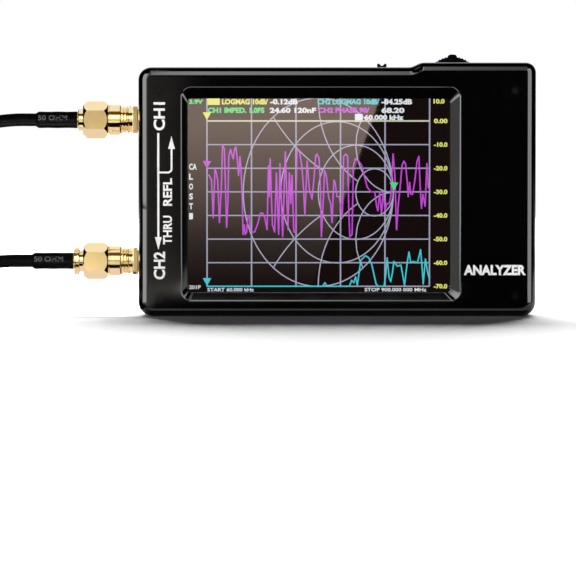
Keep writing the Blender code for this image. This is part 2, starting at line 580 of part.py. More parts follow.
def plug_mesh(has_ring, material):
    """The plug's body, in the nut's frame: contact tube, shoulder behind the jack's tip, neck and crimp tube."""
    shoulder = PORT_X - FLANGE_THICK - JACK_LENGTH - CUT_GAP - NUT_MOUTH_X
    inner_wall = -NUT_LENGTH + NUT_REAR_WALL
    tail = boot_start(has_ring)
    profile = [
        (shoulder + 1.7 * MM, JACK_BORE - CUT_GAP),
        (shoulder, JACK_BORE - CUT_GAP),
        (shoulder, NUT_BORE - GAP),
        (inner_wall + GAP, NUT_BORE - GAP),
        (inner_wall + GAP, PLUG_NECK_RADIUS),
    ]
    if has_ring:
        ring = tail + REAR_RING_LENGTH
        profile += [(ring, PLUG_NECK_RADIUS), (ring, REAR_RING_RADIUS), (tail, REAR_RING_RADIUS)]
    else:
        profile += [(tail, PLUG_NECK_RADIUS)]
    crimp_end = tail - 6.0 * MM
    profile += [
        (tail, 1.3 * MM),
        (crimp_end, 1.3 * MM),
        (crimp_end, 0.9 * MM),
        (shoulder + 1.7 * MM, 0.9 * MM),
    ]
    return mesh_of("plug_body", turned(profile, looped=True), material, smooth=True)


def boot_start(has_ring):
    """Where the boot meets the plug's body, in the nut's frame."""
    return -11.05 * MM if has_ring else -10.05 * MM


def boot_mesh(has_ring, material):
    """A shrunk sleeve over the crimp tube, with a short step down to the cable."""
    start = boot_start(has_ring) - GAP
    end = start - BOOT_LENGTH + GAP
    profile = [
        (start, BOOT_RADIUS),
        (end + 0.7 * MM, BOOT_RADIUS),
        (end, CABLE_RADIUS + 0.08 * MM),
        (end, 0.5 * MM),
        (start - 6.3 * MM, 0.5 * MM),
        (start - 6.3 * MM, 1.6 * MM),
        (start, 1.6 * MM),
    ]
    return mesh_of("boot", turned(profile, looped=True), material, smooth=True)


def pin_mesh(material):
    """The plug's centre pin, in the nut's frame."""
    profile = [(-1.6 * MM, 0.25 * MM), (-2.0 * MM, 0.46 * MM), (-9.0 * MM, 0.46 * MM)]
    return mesh_of("centre_pin", turned(profile), material, smooth=True)


def insulator_mesh(material):
    """The white insulator that shows in the mouth of a loose plug, in the nut's frame: a washer on the body's tube."""
    shoulder = PORT_X - FLANGE_THICK - JACK_LENGTH - CUT_GAP - NUT_MOUTH_X
    front = shoulder + 1.7 * MM + GAP
    profile = [(front + 0.4 * MM, 0.7 * MM), (front + 0.4 * MM, 1.95 * MM), (front, 1.95 * MM), (front, 0.7 * MM)]
    return mesh_of("plug_insulator", turned(profile, looped=True), material, smooth=True)


def smooth_route(points, spacing):
    """Points this far apart on the Catmull-Rom curve through a route given in millimetres."""
    given = [Vector(p) * MM for p in points]
    padded = [2 * given[0] - given[1], *given, 2 * given[-1] - given[-2]]
    fine = []
    for a, b, c, d in zip(padded, padded[1:], padded[2:], padded[3:]):
        for i in range(12):
            t = i / 12
            fine.append(
                0.5 * (2 * b + (c - a) * t + (2 * a - 5 * b + 4 * c - d) * t**2 + (3 * b - a - 3 * c + d) * t**3)
            )
    fine.append(given[-1])
    along = [0.0]
    for first, second in zip(fine, fine[1:]):
        along.append(along[-1] + (second - first).length)
    count = round(along[-1] / spacing)
    made, index = [], 0
    for i in range(count + 1):
        target = along[-1] * i / count
        while index < len(along) - 2 and along[index + 1] < target:
            index += 1
        share = (target - along[index]) / (along[index + 1] - along[index])
        made.append(fine[index].lerp(fine[index + 1], share))
    return made


def test_lead(number, route, materials):
    """A short coaxial lead: one plug screwed to its port, the cable down to the floor, and a loose far plug."""
    has_ring = number == 2
    name = f"lead_{number}"
    meshes = {
        "nut": nut_mesh(materials["gold"]),
        "plug": plug_mesh(has_ring, materials["gold"]),
        "boot": boot_mesh(has_ring, materials["sleeve"]),
        "pin": pin_mesh(materials["gold"]),
    }
    near = place(f"{name}_near_end", None, (NUT_MOUTH_X, SEAM_Y, PORT_Z[number]))
    mouth_to_tail = -boot_start(has_ring) + BOOT_LENGTH + CUT_GAP
    tail = Vector(route[-1]) * MM
    far = place(f"{name}_far_end", None, (tail.x - mouth_to_tail, tail.y, FAR_PLUG_Z))
    far.rotation_euler = (math.radians(30), 0, math.pi)
    for end, parent in (("near", near), ("far", far)):
        for piece, mesh in meshes.items():
            place(f"{name}_{end}_{piece}", mesh, parent=parent)
    place(f"{name}_far_insulator", insulator_mesh(materials["ptfe"]), parent=far)
    tube(f"{name}_cable", smooth_route(route, 3 * CABLE_RADIUS), CABLE_RADIUS, materials["sleeve"])


def case_screws(material):
    """Pan-head screws from the back, through the board, into the front shell's pillars."""
    head_y = REAR_Y - 0.8 * MM
    tip_y = FRONT_Y + FACE_WALL + 1.2 * MM
    neck_y = head_y - SCREW_HEAD_DEPTH + CUT_GAP
    depths = ((head_y, SCREW_HEAD_RADIUS), (neck_y, SCREW_HEAD_RADIUS), (neck_y, SCREW_RADIUS), (tip_y, SCREW_RADIUS))
    rings = [[Vector((p.y, y, p.z)) for p in ring_points(0, radius)] for y, radius in depths]
    mesh = mesh_of("case_screw", loft(rings), material, smooth=True)
    for number, (x, z) in enumerate(boss_centres(), start=1):
        place(f"case_screw_{number}", mesh, (x, 0, z))


def main():
    clear_scene()
    materials = {
        "shell": make_material("black_abs", (0.012, 0.012, 0.013), 0.3),
        "black": make_material("black_nylon", (0.015, 0.015, 0.016), 0.45),
        "glass": make_material("screen_glass", (0.01, 0.01, 0.012), 0.05),
        "frame": make_material("backlight_white", (0.75, 0.75, 0.73), 0.5),
        "foam": make_material("black_foam", (0.02, 0.02, 0.02), 0.9),
        "ribbon": make_material("polyimide", (0.5, 0.22, 0.03), 0.35),
        "board": make_material("solder_mask", (0.01, 0.06, 0.03), 0.35),
        "chip": make_material("epoxy", (0.02, 0.02, 0.022), 0.5),
        "tinned": make_material("tinned_steel", (0.6, 0.6, 0.6), 0.35, 1.0),
        "steel": make_material("stainless_steel", (0.55, 0.55, 0.56), 0.3, 1.0),
        "gold": make_material("gold_plated_brass", (0.9, 0.66, 0.25), 0.16, 1.0),
        "ptfe": make_material("ptfe", (0.85, 0.85, 0.82), 0.5),
        "sleeve": make_material("black_pvc", (0.018, 0.018, 0.02), 0.4),
        "pouch": make_material("aluminium_foil", (0.6, 0.6, 0.62), 0.35, 1.0),
        "white": make_material("white_nylon", (0.8, 0.78, 0.72), 0.5),
        "red": make_material("red_pvc", (0.5, 0.02, 0.02), 0.4),
    }
    front_shell(materials["shell"])
    rear_shell(materials["shell"])
    screen_stack(materials)
    main_board(materials["board"])
    board_parts(materials)
    battery(materials)
    usb_socket(materials)
    power_switch(materials)
    jog_switch(materials)
    for number, route in ((1, ROUTE_1), (2, ROUTE_2)):
        coaxial_jack(number, materials)
        test_lead(number, route, materials)
    case_screws(materials["steel"])


main()
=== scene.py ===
"""Looks of the pocket vector network analyser: its case, its lit screen, its gold ports and two test leads.

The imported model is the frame. Every visible piece is built here in the same place, in metres, with +X to the
right of the screen, -Y out of the screen and +Z up, and rides on the body that carries it.
"""

import json
import logging
import math
from collections.abc import Iterable, Sequence
from dataclasses import dataclass
from enum import Enum

import bpy
from mathutils import Matrix, Vector

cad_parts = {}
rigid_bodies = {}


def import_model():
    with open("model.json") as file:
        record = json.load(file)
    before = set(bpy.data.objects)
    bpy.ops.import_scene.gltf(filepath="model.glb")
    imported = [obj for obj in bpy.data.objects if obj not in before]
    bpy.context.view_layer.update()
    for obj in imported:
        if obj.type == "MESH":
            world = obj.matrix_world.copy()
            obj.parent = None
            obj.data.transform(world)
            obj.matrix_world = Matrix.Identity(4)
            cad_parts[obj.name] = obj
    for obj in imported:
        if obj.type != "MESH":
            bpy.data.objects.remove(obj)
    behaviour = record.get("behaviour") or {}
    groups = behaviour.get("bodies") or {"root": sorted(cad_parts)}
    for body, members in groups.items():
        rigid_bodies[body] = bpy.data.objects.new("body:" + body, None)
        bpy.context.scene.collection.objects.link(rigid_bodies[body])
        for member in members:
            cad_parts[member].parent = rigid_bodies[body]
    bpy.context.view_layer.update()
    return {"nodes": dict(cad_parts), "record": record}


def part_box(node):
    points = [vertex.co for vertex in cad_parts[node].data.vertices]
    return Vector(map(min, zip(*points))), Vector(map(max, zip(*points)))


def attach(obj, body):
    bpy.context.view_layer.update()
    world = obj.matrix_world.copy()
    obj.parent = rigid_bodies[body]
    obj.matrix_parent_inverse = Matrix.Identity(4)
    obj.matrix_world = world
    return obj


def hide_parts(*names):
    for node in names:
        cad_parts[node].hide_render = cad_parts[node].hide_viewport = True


LOG = logging.getLogger("analyser")
MM = 0.001

Flat = tuple[float, float]
Triple = tuple[float, float, float]
Corners = Sequence[Triple]

ORIGIN = Vector((0, 0, 0))
THREAD_PITCH = 0.7056 * MM
PORT_HEIGHTS = (46.05 * MM, 12.8 * MM)


class Body(str, Enum):
    """Rigid bodies that the pieces ride on."""

    CASE = "case"
    KNOB = "power_knob"
    LEVER = "jog_lever"


class Slot(str, Enum):
    """Material slots of the record that match the finishes of new pieces."""

    SHELL = "shell"
    BLACK = "black_plastic"
    GOLD = "gold"
    JACKET = "cable_jacket"
    STEEL = "steel"
    WHITE = "white_plastic"


class Joining(str, Enum):
    """What a solid does to the solid that it is combined with."""

    ADD = "UNION"
    CUT = "DIFFERENCE"
    COMMON = "INTERSECT"


# ---------------------------------------------------------------------------------------------------------
# Finishes


def linear(colour: str) -> tuple[float, float, float, float]:
    """Turns an sRGB hex colour into a linear one.

    Args:
        colour: six hex digits after a hash.

    Returns:
        Red, green, blue and an alpha of 1.
    """
    parts = [int(colour[i : i + 2], 16) / 255 for i in (1, 3, 5)]
    red, green, blue = (p / 12.92 if p <= 0.04045 else ((p + 0.055) / 1.055) ** 2.4 for p in parts)
    return red, green, blue, 1.0


def add_node(
    tree: bpy.types.NodeTree, kind: str, inputs: dict[str | int, object] | None = None, **settings: object
) -> bpy.types.Node:
    """Adds one shader node.

    Args:
        tree: the node tree.
        kind: the node's type name, without its first word.
        inputs: sockets by name or number, each given a constant or another node's output.
        settings: attributes to set on the node.

    Returns:
        The node.
    """
    node = tree.nodes.new(f"ShaderNode{kind}")
    for key, value in settings.items():
        setattr(node, key, value)
    for key, value in (inputs or {}).items():
        if isinstance(value, bpy.types.NodeSocket):
            tree.links.new(value, node.inputs[key])
        else:
            node.inputs[key].default_value = value
    return node


def map_range(
    tree: bpy.types.NodeTree, value: bpy.types.NodeSocket, source: Flat, target: Flat, **settings: object
) -> bpy.types.NodeSocket:
    """Maps a value from one range onto another, and holds it within that.

    Args:
        tree: the node tree.
        value: the socket that gives the value.
        source: the first range's ends.
        target: the second range's ends.
        settings: attributes to set on the node.

    Returns:
        The mapped value's socket.
    """
    ends = {"From Min": source[0], "From Max": source[1], "To Min": target[0], "To Max": target[1]}
    return add_node(tree, "MapRange", {"Value": value, **ends}, **settings).outputs["Result"]


def object_noise(
    tree: bpy.types.NodeTree, grain: float, stretch: Triple = (1, 1, 1), detail: float = 3.0
) -> bpy.types.NodeSocket:
    """Noise on object coordinates.

    Args:
        tree: the node tree.
        grain: size of one grain, in metres.
        stretch: how many times longer a grain is along each axis.
        detail: octaves of finer noise.

    Returns:
        The noise value's socket.
    """
    place = add_node(tree, "TexCoord").outputs["Object"]
    scale = tuple(1 / s for s in stretch)
    mapped = add_node(tree, "Mapping", {"Vector": place, "Scale": scale}).outputs["Vector"]
    return add_node(tree, "TexNoise", {"Vector": mapped, "Scale": 1 / grain, "Detail": detail}).outputs["Fac"]


def new_material(name: str) -> tuple[bpy.types.Material, bpy.types.NodeTree]:
    """A new material and its node tree."""
    material = bpy.data.materials.new(name)
    material.use_nodes = True
    return material, material.node_tree


def show(tree: bpy.types.NodeTree, shader: bpy.types.Node) -> None:
    """Puts a shader on a material's output, in place of the standard one."""
    tree.nodes.remove(tree.nodes["Principled BSDF"])
    tree.links.new(shader.outputs[0], tree.nodes["Material Output"].inputs["Surface"])


@dataclass(frozen=True)
class Finish:
    """A solid material with fine relief and uneven gloss.

    Attributes:
        name: the material and how its surface was made.
        colour: sRGB hex.
        roughness: mean roughness.
        metallic: 1 for a metal.
        ior: index of refraction of a non-metal.
        grain_mm: size of one grain of the relief.
        relief_mm: height of the relief.
        stretch: how many times longer a grain is along each axis.
        uneven: how far the roughness goes either way from its mean.
        coat: strength of a clear layer on top.
    """

    name: str
    colour: str
    roughness: float
    metallic: float = 0.0
    ior: float = 1.5
    grain_mm: float = 0.3
    relief_mm: float = 0.002
    stretch: Triple = (1, 1, 1)
    uneven: float = 0.05
    coat: float = 0.0

    def dullness(self, tree: bpy.types.NodeTree) -> bpy.types.NodeSocket:
        """The roughness, drifting in soft clouds where the surface was handled."""
        cloud = object_noise(tree, 9 * MM, detail=4.0)
        low, high = max(self.roughness - self.uneven, 0.02), self.roughness + self.uneven
        return map_range(tree, cloud, (0.3, 0.7), (low, high))

    def build(self) -> bpy.types.Material:
        """Makes the material, with its nodes."""
        material, tree = new_material(self.name)
        shader = tree.nodes["Principled BSDF"]
        shader.inputs["Base Color"].default_value = linear(self.colour)
        shader.inputs["Metallic"].default_value = self.metallic
        if not self.metallic:
            shader.inputs["IOR"].default_value = self.ior
        shader.inputs["Coat Weight"].default_value = self.coat
        tree.links.new(self.dullness(tree), shader.inputs["Roughness"])
        height = object_noise(tree, self.grain_mm * MM, self.stretch)
        bump = add_node(tree, "Bump", {"Height": height, "Strength": 1.0, "Distance": self.relief_mm * MM})
        tree.links.new(bump.outputs["Normal"], shader.inputs["Normal"])
        return material


@dataclass(frozen=True)
class SunkShell(Finish):
    """Moulded shell whose skin is a little duller where it shrank over each screw boss."""

    bosses: tuple[Flat, ...] = ()
    spot_mm: float = 1.7
    duller: float = 0.1

    def dullness(self, tree: bpy.types.NodeTree) -> bpy.types.NodeSocket:
        """The roughness of the skin, with a soft dull spot at each boss."""
        total = super().dullness(tree)
        place = add_node(tree, "TexCoord").outputs["Object"]
        parts = add_node(tree, "SeparateXYZ", {0: place})
        flat = add_node(tree, "CombineXYZ", {0: parts.outputs["X"], 2: parts.outputs["Z"]}).outputs[0]
        fade = {"source": (0.0, self.spot_mm * MM), "target": (self.duller, 0.0)}
        for x, z in self.bosses:
            far = add_node(tree, "VectorMath", {0: flat, 1: (x, 0, z)}, operation="DISTANCE").outputs["Value"]
            spot = map_range(tree, far, **fade, interpolation_type="SMOOTHERSTEP")
            total = add_node(tree, "Math", {0: total, 1: spot}, operation="ADD").outputs[0]
        return total


@dataclass(frozen=True)
class ClearGlass:
    """Touch film over glass, clear head on and mirror-like at a slant; each of its faces mirrors a little."""

    name: str = "float_glass_polished"
    tint: str = "#e9ecee"
    roughness: float = 0.015
    ior: float = 1.52
    faces: int = 4

    def build(self) -> bpy.types.Material:
        """Makes the glass, which mirrors only what is in front of it."""
        material, tree = new_material(self.name)
        clear = add_node(tree, "BsdfTransparent", {"Color": linear(self.tint)})
        gloss = add_node(tree, "BsdfGlossy", {"Roughness": self.roughness})
        one = add_node(tree, "Fresnel", {"IOR": self.ior}).outputs[0]
        behind = add_node(tree, "NewGeometry").outputs["Backfacing"]
        count = map_range(tree, behind, (0, 1), (self.faces, 0))
        share = add_node(tree, "Math", {0: one, 1: count}, operation="MULTIPLY", use_clamp=True).outputs[0]
        show(tree, add_node(tree, "MixShader", {0: share, 1: clear.outputs[0], 2: gloss.outputs[0]}))
        return material


@dataclass(frozen=True)
class Lit:
    """A colour that the backlight sends out through the display."""

    name: str
    colour: str
    strength: float = 1.0

    def build(self) -> bpy.types.Material:
        """Makes a dark surface that glows in one colour."""
        material, tree = new_material(self.name)
        shader = tree.nodes["Principled BSDF"]
        shader.inputs["Base Color"].default_value = linear("#050505")
        shader.inputs["Roughness"].default_value = 0.6
        shader.inputs["Specular IOR Level"].default_value = 0.0
        shader.inputs["Emission Color"].default_value = linear(self.colour)
        shader.inputs["Emission Strength"].default_value = self.strength
        return material


BOSSES: tuple[Flat, ...] = tuple((x * MM, z * MM) for z in (4.8, 52.8) for x in (-41.6, 41.6))

# Black ABS from a fine spark-eroded mould: a soft sheen that fades across the face.
ABS_MOULDED = SunkShell(
    "abs_black_moulded", "#030304", 0.08, grain_mm=0.22, relief_mm=0.0003, uneven=0.015, bosses=BOSSES
)
# Nylon takes the mould's grain less sharply, and is worn smoother where a thumb rubs it.
NYLON_MOULDED = Finish("nylon_black_moulded", "#08080a", 0.36, ior=1.53, grain_mm=0.25, relief_mm=0.003)
# Gold over nickel on turned brass: pale gold, with the lathe's fine rings across the axis.
GOLD_PLATED = Finish(
    "brass_turned_gold_plated", "#fadfa2", 0.1, 1.0, 1.5, 0.12, 0.0008, stretch=(0.5, 12, 12), uneven=0.04
)
# Extruded vinyl: smooth along the cable, with long shallow waves from the die.
VINYL_EXTRUDED = Finish(
    "vinyl_black_extruded", "#0b0b0d", 0.3, 0.0, 1.53, 0.5, 0.006, stretch=(5, 1, 1), uneven=0.06
)
# Heat-shrink sleeve: a satin skin that puckers slightly over what is under it.
SLEEVE_SHRUNK = Finish("polyolefin_black_shrunk", "#0a0a0b", 0.34, grain_mm=1.2, relief_mm=0.02, uneven=0.06)
PTFE_TURNED = Finish("ptfe_turned", "#ece9e0", 0.45, 0.0, 1.35, 0.15, 0.002, stretch=(0.5, 8, 8))
STEEL_ROLLED = Finish(
    "stainless_steel_cold_rolled", "#b4b4b2", 0.28, 1.0, 1.5, 0.08, 0.0008, stretch=(14, 1, 1), uneven=0.06
)
STEEL_BLACK = Finish("steel_screw_black_oxide", "#2b2a2c", 0.34, 1.0, 1.5, 0.1, 0.002, uneven=0.08)
TIN_PLATED = Finish("steel_sheet_tin_plated", "#c9c9c6", 0.3, 1.0, 1.5, 0.6, 0.002, uneven=0.08)
SCREEN_INK = Finish("ink_white_screen_printed", "#f1f0ee", 0.5, grain_mm=0.1, relief_mm=0.002)
MARKING_INK = Finish("ink_grey_hot_stamped", "#747476", 0.5, grain_mm=0.1, relief_mm=0.002)
FOAM_DIE_CUT = Finish("foam_closed_cell_die_cut", "#131313", 0.85, grain_mm=0.15, relief_mm=0.03)
MASK_COATED = Finish("laminate_solder_mask", "#0c3a22", 0.32, 0.0, 1.55, 0.5, 0.004, coat=0.3)
EPOXY_MOULDED = Finish("epoxy_black_transfer_moulded", "#1c1c1d", 0.55, grain_mm=0.06, relief_mm=0.003)
POLYIMIDE_FILM = Finish("polyimide_film_amber", "#a8621c", 0.3, ior=1.7, grain_mm=0.8, relief_mm=0.002)
FOIL_POUCH = Finish("aluminium_laminate_pouch", "#b9bbbe", 0.32, 1.0, grain_mm=1.5, relief_mm=0.02)
WHITE_MOULDED = Finish("nylon_natural_moulded", "#e5e0d3", 0.45, ior=1.53, grain_mm=0.2, relief_mm=0.003)
RED_EXTRUDED = Finish("silicone_red_extruded", "#9d1a16", 0.4, ior=1.43, grain_mm=0.4, relief_mm=0.003)

SLOT_FINISHES: dict[str, Finish | ClearGlass] = {
    "shell": ABS_MOULDED,
    "black_plastic": NYLON_MOULDED,
    "screen_glass": ClearGlass(),
    "foam": FOAM_DIE_CUT,
    "white_plastic": WHITE_MOULDED,
    "ribbon": POLYIMIDE_FILM,
    "board": MASK_COATED,
    "chip": EPOXY_MOULDED,
    "tinned_steel": TIN_PLATED,
    "steel": STEEL_ROLLED,
    "pouch": FOIL_POUCH,
    "red_wire": RED_EXTRUDED,
    "cable_jacket": VINYL_EXTRUDED,
    "ptfe": PTFE_TURNED,
    "gold": GOLD_PLATED,
}


class Paintbox:
    """Builds each finish once."""

    def __init__(self) -> None:
        """Starts with no material made."""
        self._made: dict[str, bpy.types.Material] = {}

    def get(self, finish: "Finish | ClearGlass | Lit") -> bpy.types.Material:
        """The material of a finish, made on first use."""
        if finish.name not in self._made:
            self._made[finish.name] = finish.build()
        return self._made[finish.name]


# ---------------------------------------------------------------------------------------------------------
# Modelling


def pick(*objects: bpy.types.Object) -> None:
    """Selects these objects only, and makes the first one active."""
    for other in bpy.context.view_layer.objects:
        other.select_set(False)
    for obj in objects:
        obj.select_set(True)
    bpy.context.view_layer.objects.active = objects[0] if objects else None


def quarter(centre: Flat, radius: float, start: float, steps: int) -> list[Flat]:
    """Points of an anticlockwise quarter turn.

    Args:
        centre: its centre, X and Z.
        radius: its radius.
        start: its first angle, in degrees from +X.
        steps: how many chords.

    Returns:
        The points, X and Z.
    """
    angles = [math.radians(start + 90 * i / steps) for i in range(steps + 1)]
    return [(centre[0] + radius * math.cos(a), centre[1] + radius * math.sin(a)) for a in angles]


def rounded(left: float, right: float, low: float, high: float, corner: float, steps: int = 10) -> list[Flat]:
    """A rectangle's outline with round corners, in X and Z."""
    points = quarter((left + corner, low + corner), corner, 180, steps)
    points += quarter((right - corner, low + corner), corner, 270, steps)
    points += quarter((right - corner, high - corner), corner, 0, steps)
    points += quarter((left + corner, high - corner), corner, 90, steps)
    return points


def plate(name: str, outline: Sequence[Flat], start: float, end: float) -> bpy.types.Object:
    """A plate with any outline, extruded along Y.

    Args:
        name: the piece's name.
        outline: points of its outline, X and Z.
        start: Y of its first face.
        end: Y of its second face.

    Returns:
        The plate.
    """
    pick()
    bpy.ops.mesh.primitive_circle_add(vertices=len(outline), fill_type="NGON")
    obj = bpy.context.object
    obj.name = name
    obj.data.name = name
    for vertex, (x, z) in zip(obj.data.vertices, outline, strict=True):
        vertex.co = (x, start, z)
    bpy.ops.object.mode_set(mode="EDIT")
    bpy.ops.mesh.select_all(action="SELECT")
    bpy.ops.mesh.extrude_region_move(TRANSFORM_OT_translate={"value": (0, end - start, 0)})
    bpy.ops.mesh.select_all(action="SELECT")
    bpy.ops.mesh.normals_make_consistent(inside=False)
    bpy.ops.object.mode_set(mode="OBJECT")
    return obj


def turned(name: str, profile: Sequence[Flat], centre: Vector = ORIGIN, steps: int = 72) -> bpy.types.Object:
    """A piece turned on a lathe, round a line along X.

    Args:
        name: the piece's name.
        profile: points of the closed profile, each its place along X and its radius.
        centre: where the profile's zero lies.
        steps: how many sides.

    Returns:
        The piece.
    """
    pick()
    bpy.ops.mesh.primitive_circle_add(vertices=len(profile), fill_type="NOTHING")
    obj = bpy.context.object
    obj.name = name
    obj.data.name = name
    for vertex, (x, radius) in zip(obj.data.vertices, profile, strict=True):
        vertex.co = centre + Vector((x, 0, radius))
    bpy.ops.object.mode_set(mode="EDIT")
    bpy.ops.mesh.select_all(action="SELECT")
    bpy.ops.mesh.spin(steps=steps, angle=math.tau, center=centre, axis=(1, 0, 0))
    bpy.ops.mesh.select_all(action="SELECT")
    bpy.ops.mesh.remove_doubles(threshold=0.000002)
    bpy.ops.mesh.normals_make_consistent(inside=False)
    bpy.ops.object.mode_set(mode="OBJECT")
    return obj


def combine(obj: bpy.types.Object, other: bpy.types.Object, how: Joining) -> None:
    """Joins, cuts or trims obj with another solid, which is used up."""
    modifier = obj.modifiers.new(how.name, "BOOLEAN")
    modifier.operation = how.value
    modifier.solver = "EXACT"
    modifier.object = other
    pick(obj)
    bpy.ops.object.modifier_apply(modifier=modifier.name)
    bpy.data.objects.remove(other)
    if not obj.data.polygons:
        raise RuntimeError(f"nothing is left of {obj.name}")


def soften(obj: bpy.types.Object, width: float, segments: int = 3, angle: float = 35) -> None:
    """Rounds every edge of obj that is sharper than the angle, in degrees."""
    modifier = obj.modifiers.new("soft_edges", "BEVEL")
    modifier.width = width
    modifier.segments = segments
    modifier.limit_method = "ANGLE"
    modifier.angle_limit = math.radians(angle)
    modifier.miter_outer = "MITER_ARC"
    modifier.use_clamp_overlap = True
    pick(obj)
    bpy.ops.object.modifier_apply(modifier=modifier.name)


def round_rim(
    obj: bpy.types.Object, face_y: float, radius: float, segments: int, between: Flat = (-1.0, 1.0)
) -> None:
    """Rounds the edges of a plate that lie at one Y and between two values of X."""
    pick(obj)
    bpy.ops.object.mode_set(mode="EDIT")
    bpy.ops.mesh.select_mode(type="EDGE")
    bpy.ops.mesh.select_all(action="DESELECT")
    bpy.ops.object.mode_set(mode="OBJECT")
    vertices = obj.data.vertices
    for edge in obj.data.edges:
        places = [vertices[v].co for v in edge.vertices]
        edge.select = all(abs(p.y - face_y) < 1e-6 and between[0] < p.x < between[1] for p in places)
    bpy.ops.object.mode_set(mode="EDIT")
    bpy.ops.mesh.bevel(offset=radius, segments=segments, profile=0.5, affect="EDGES", clamp_overlap=False)
    bpy.ops.mesh.select_mode(type="VERT")
    bpy.ops.object.mode_set(mode="OBJECT")


class Maker:
    """Gives finished pieces their material and body, and hides the nodes that they stand for."""

    def __init__(self, paints: Paintbox) -> None:
        """Keeps the finishes that the pieces are dressed in."""
        self.paints = paints

    def finish(
        self,
        obj: bpy.types.Object,
        finish: "Finish | ClearGlass | Lit",
        body: str,
        slot: Slot,
        nodes: Iterable[str] = (),
        smooth: float = 32,
    ) -> bpy.types.Object:
        """Dresses a piece and hands it to the frame.

        Args:
            obj: the piece, at the origin.
            finish: its finish.
            body: the body that carries it.
            slot: the record's slot that matches its finish; it is not used.
            nodes: the nodes that it stands for.
            smooth: faces that meet at less than this angle, in degrees, are shaded as one.

        Returns:
            The piece.
        """
        obj.data.materials.clear()
        obj.data.materials.append(self.paints.get(finish))
        if obj.type == "MESH":
            pick(obj)
            bpy.ops.object.shade_smooth_by_angle(angle=math.radians(smooth))
            flats = obj.modifiers.new("flat_faces", "WEIGHTED_NORMAL")
            flats.keep_sharp = True
            bpy.ops.object.modifier_apply(modifier=flats.name)
        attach(obj, body.value if isinstance(body, Body) else body)
        if nodes:
            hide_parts(*nodes)
        LOG.info("%s rides on %s", obj.name, body)
        return obj


# ---------------------------------------------------------------------------------------------------------
# Case


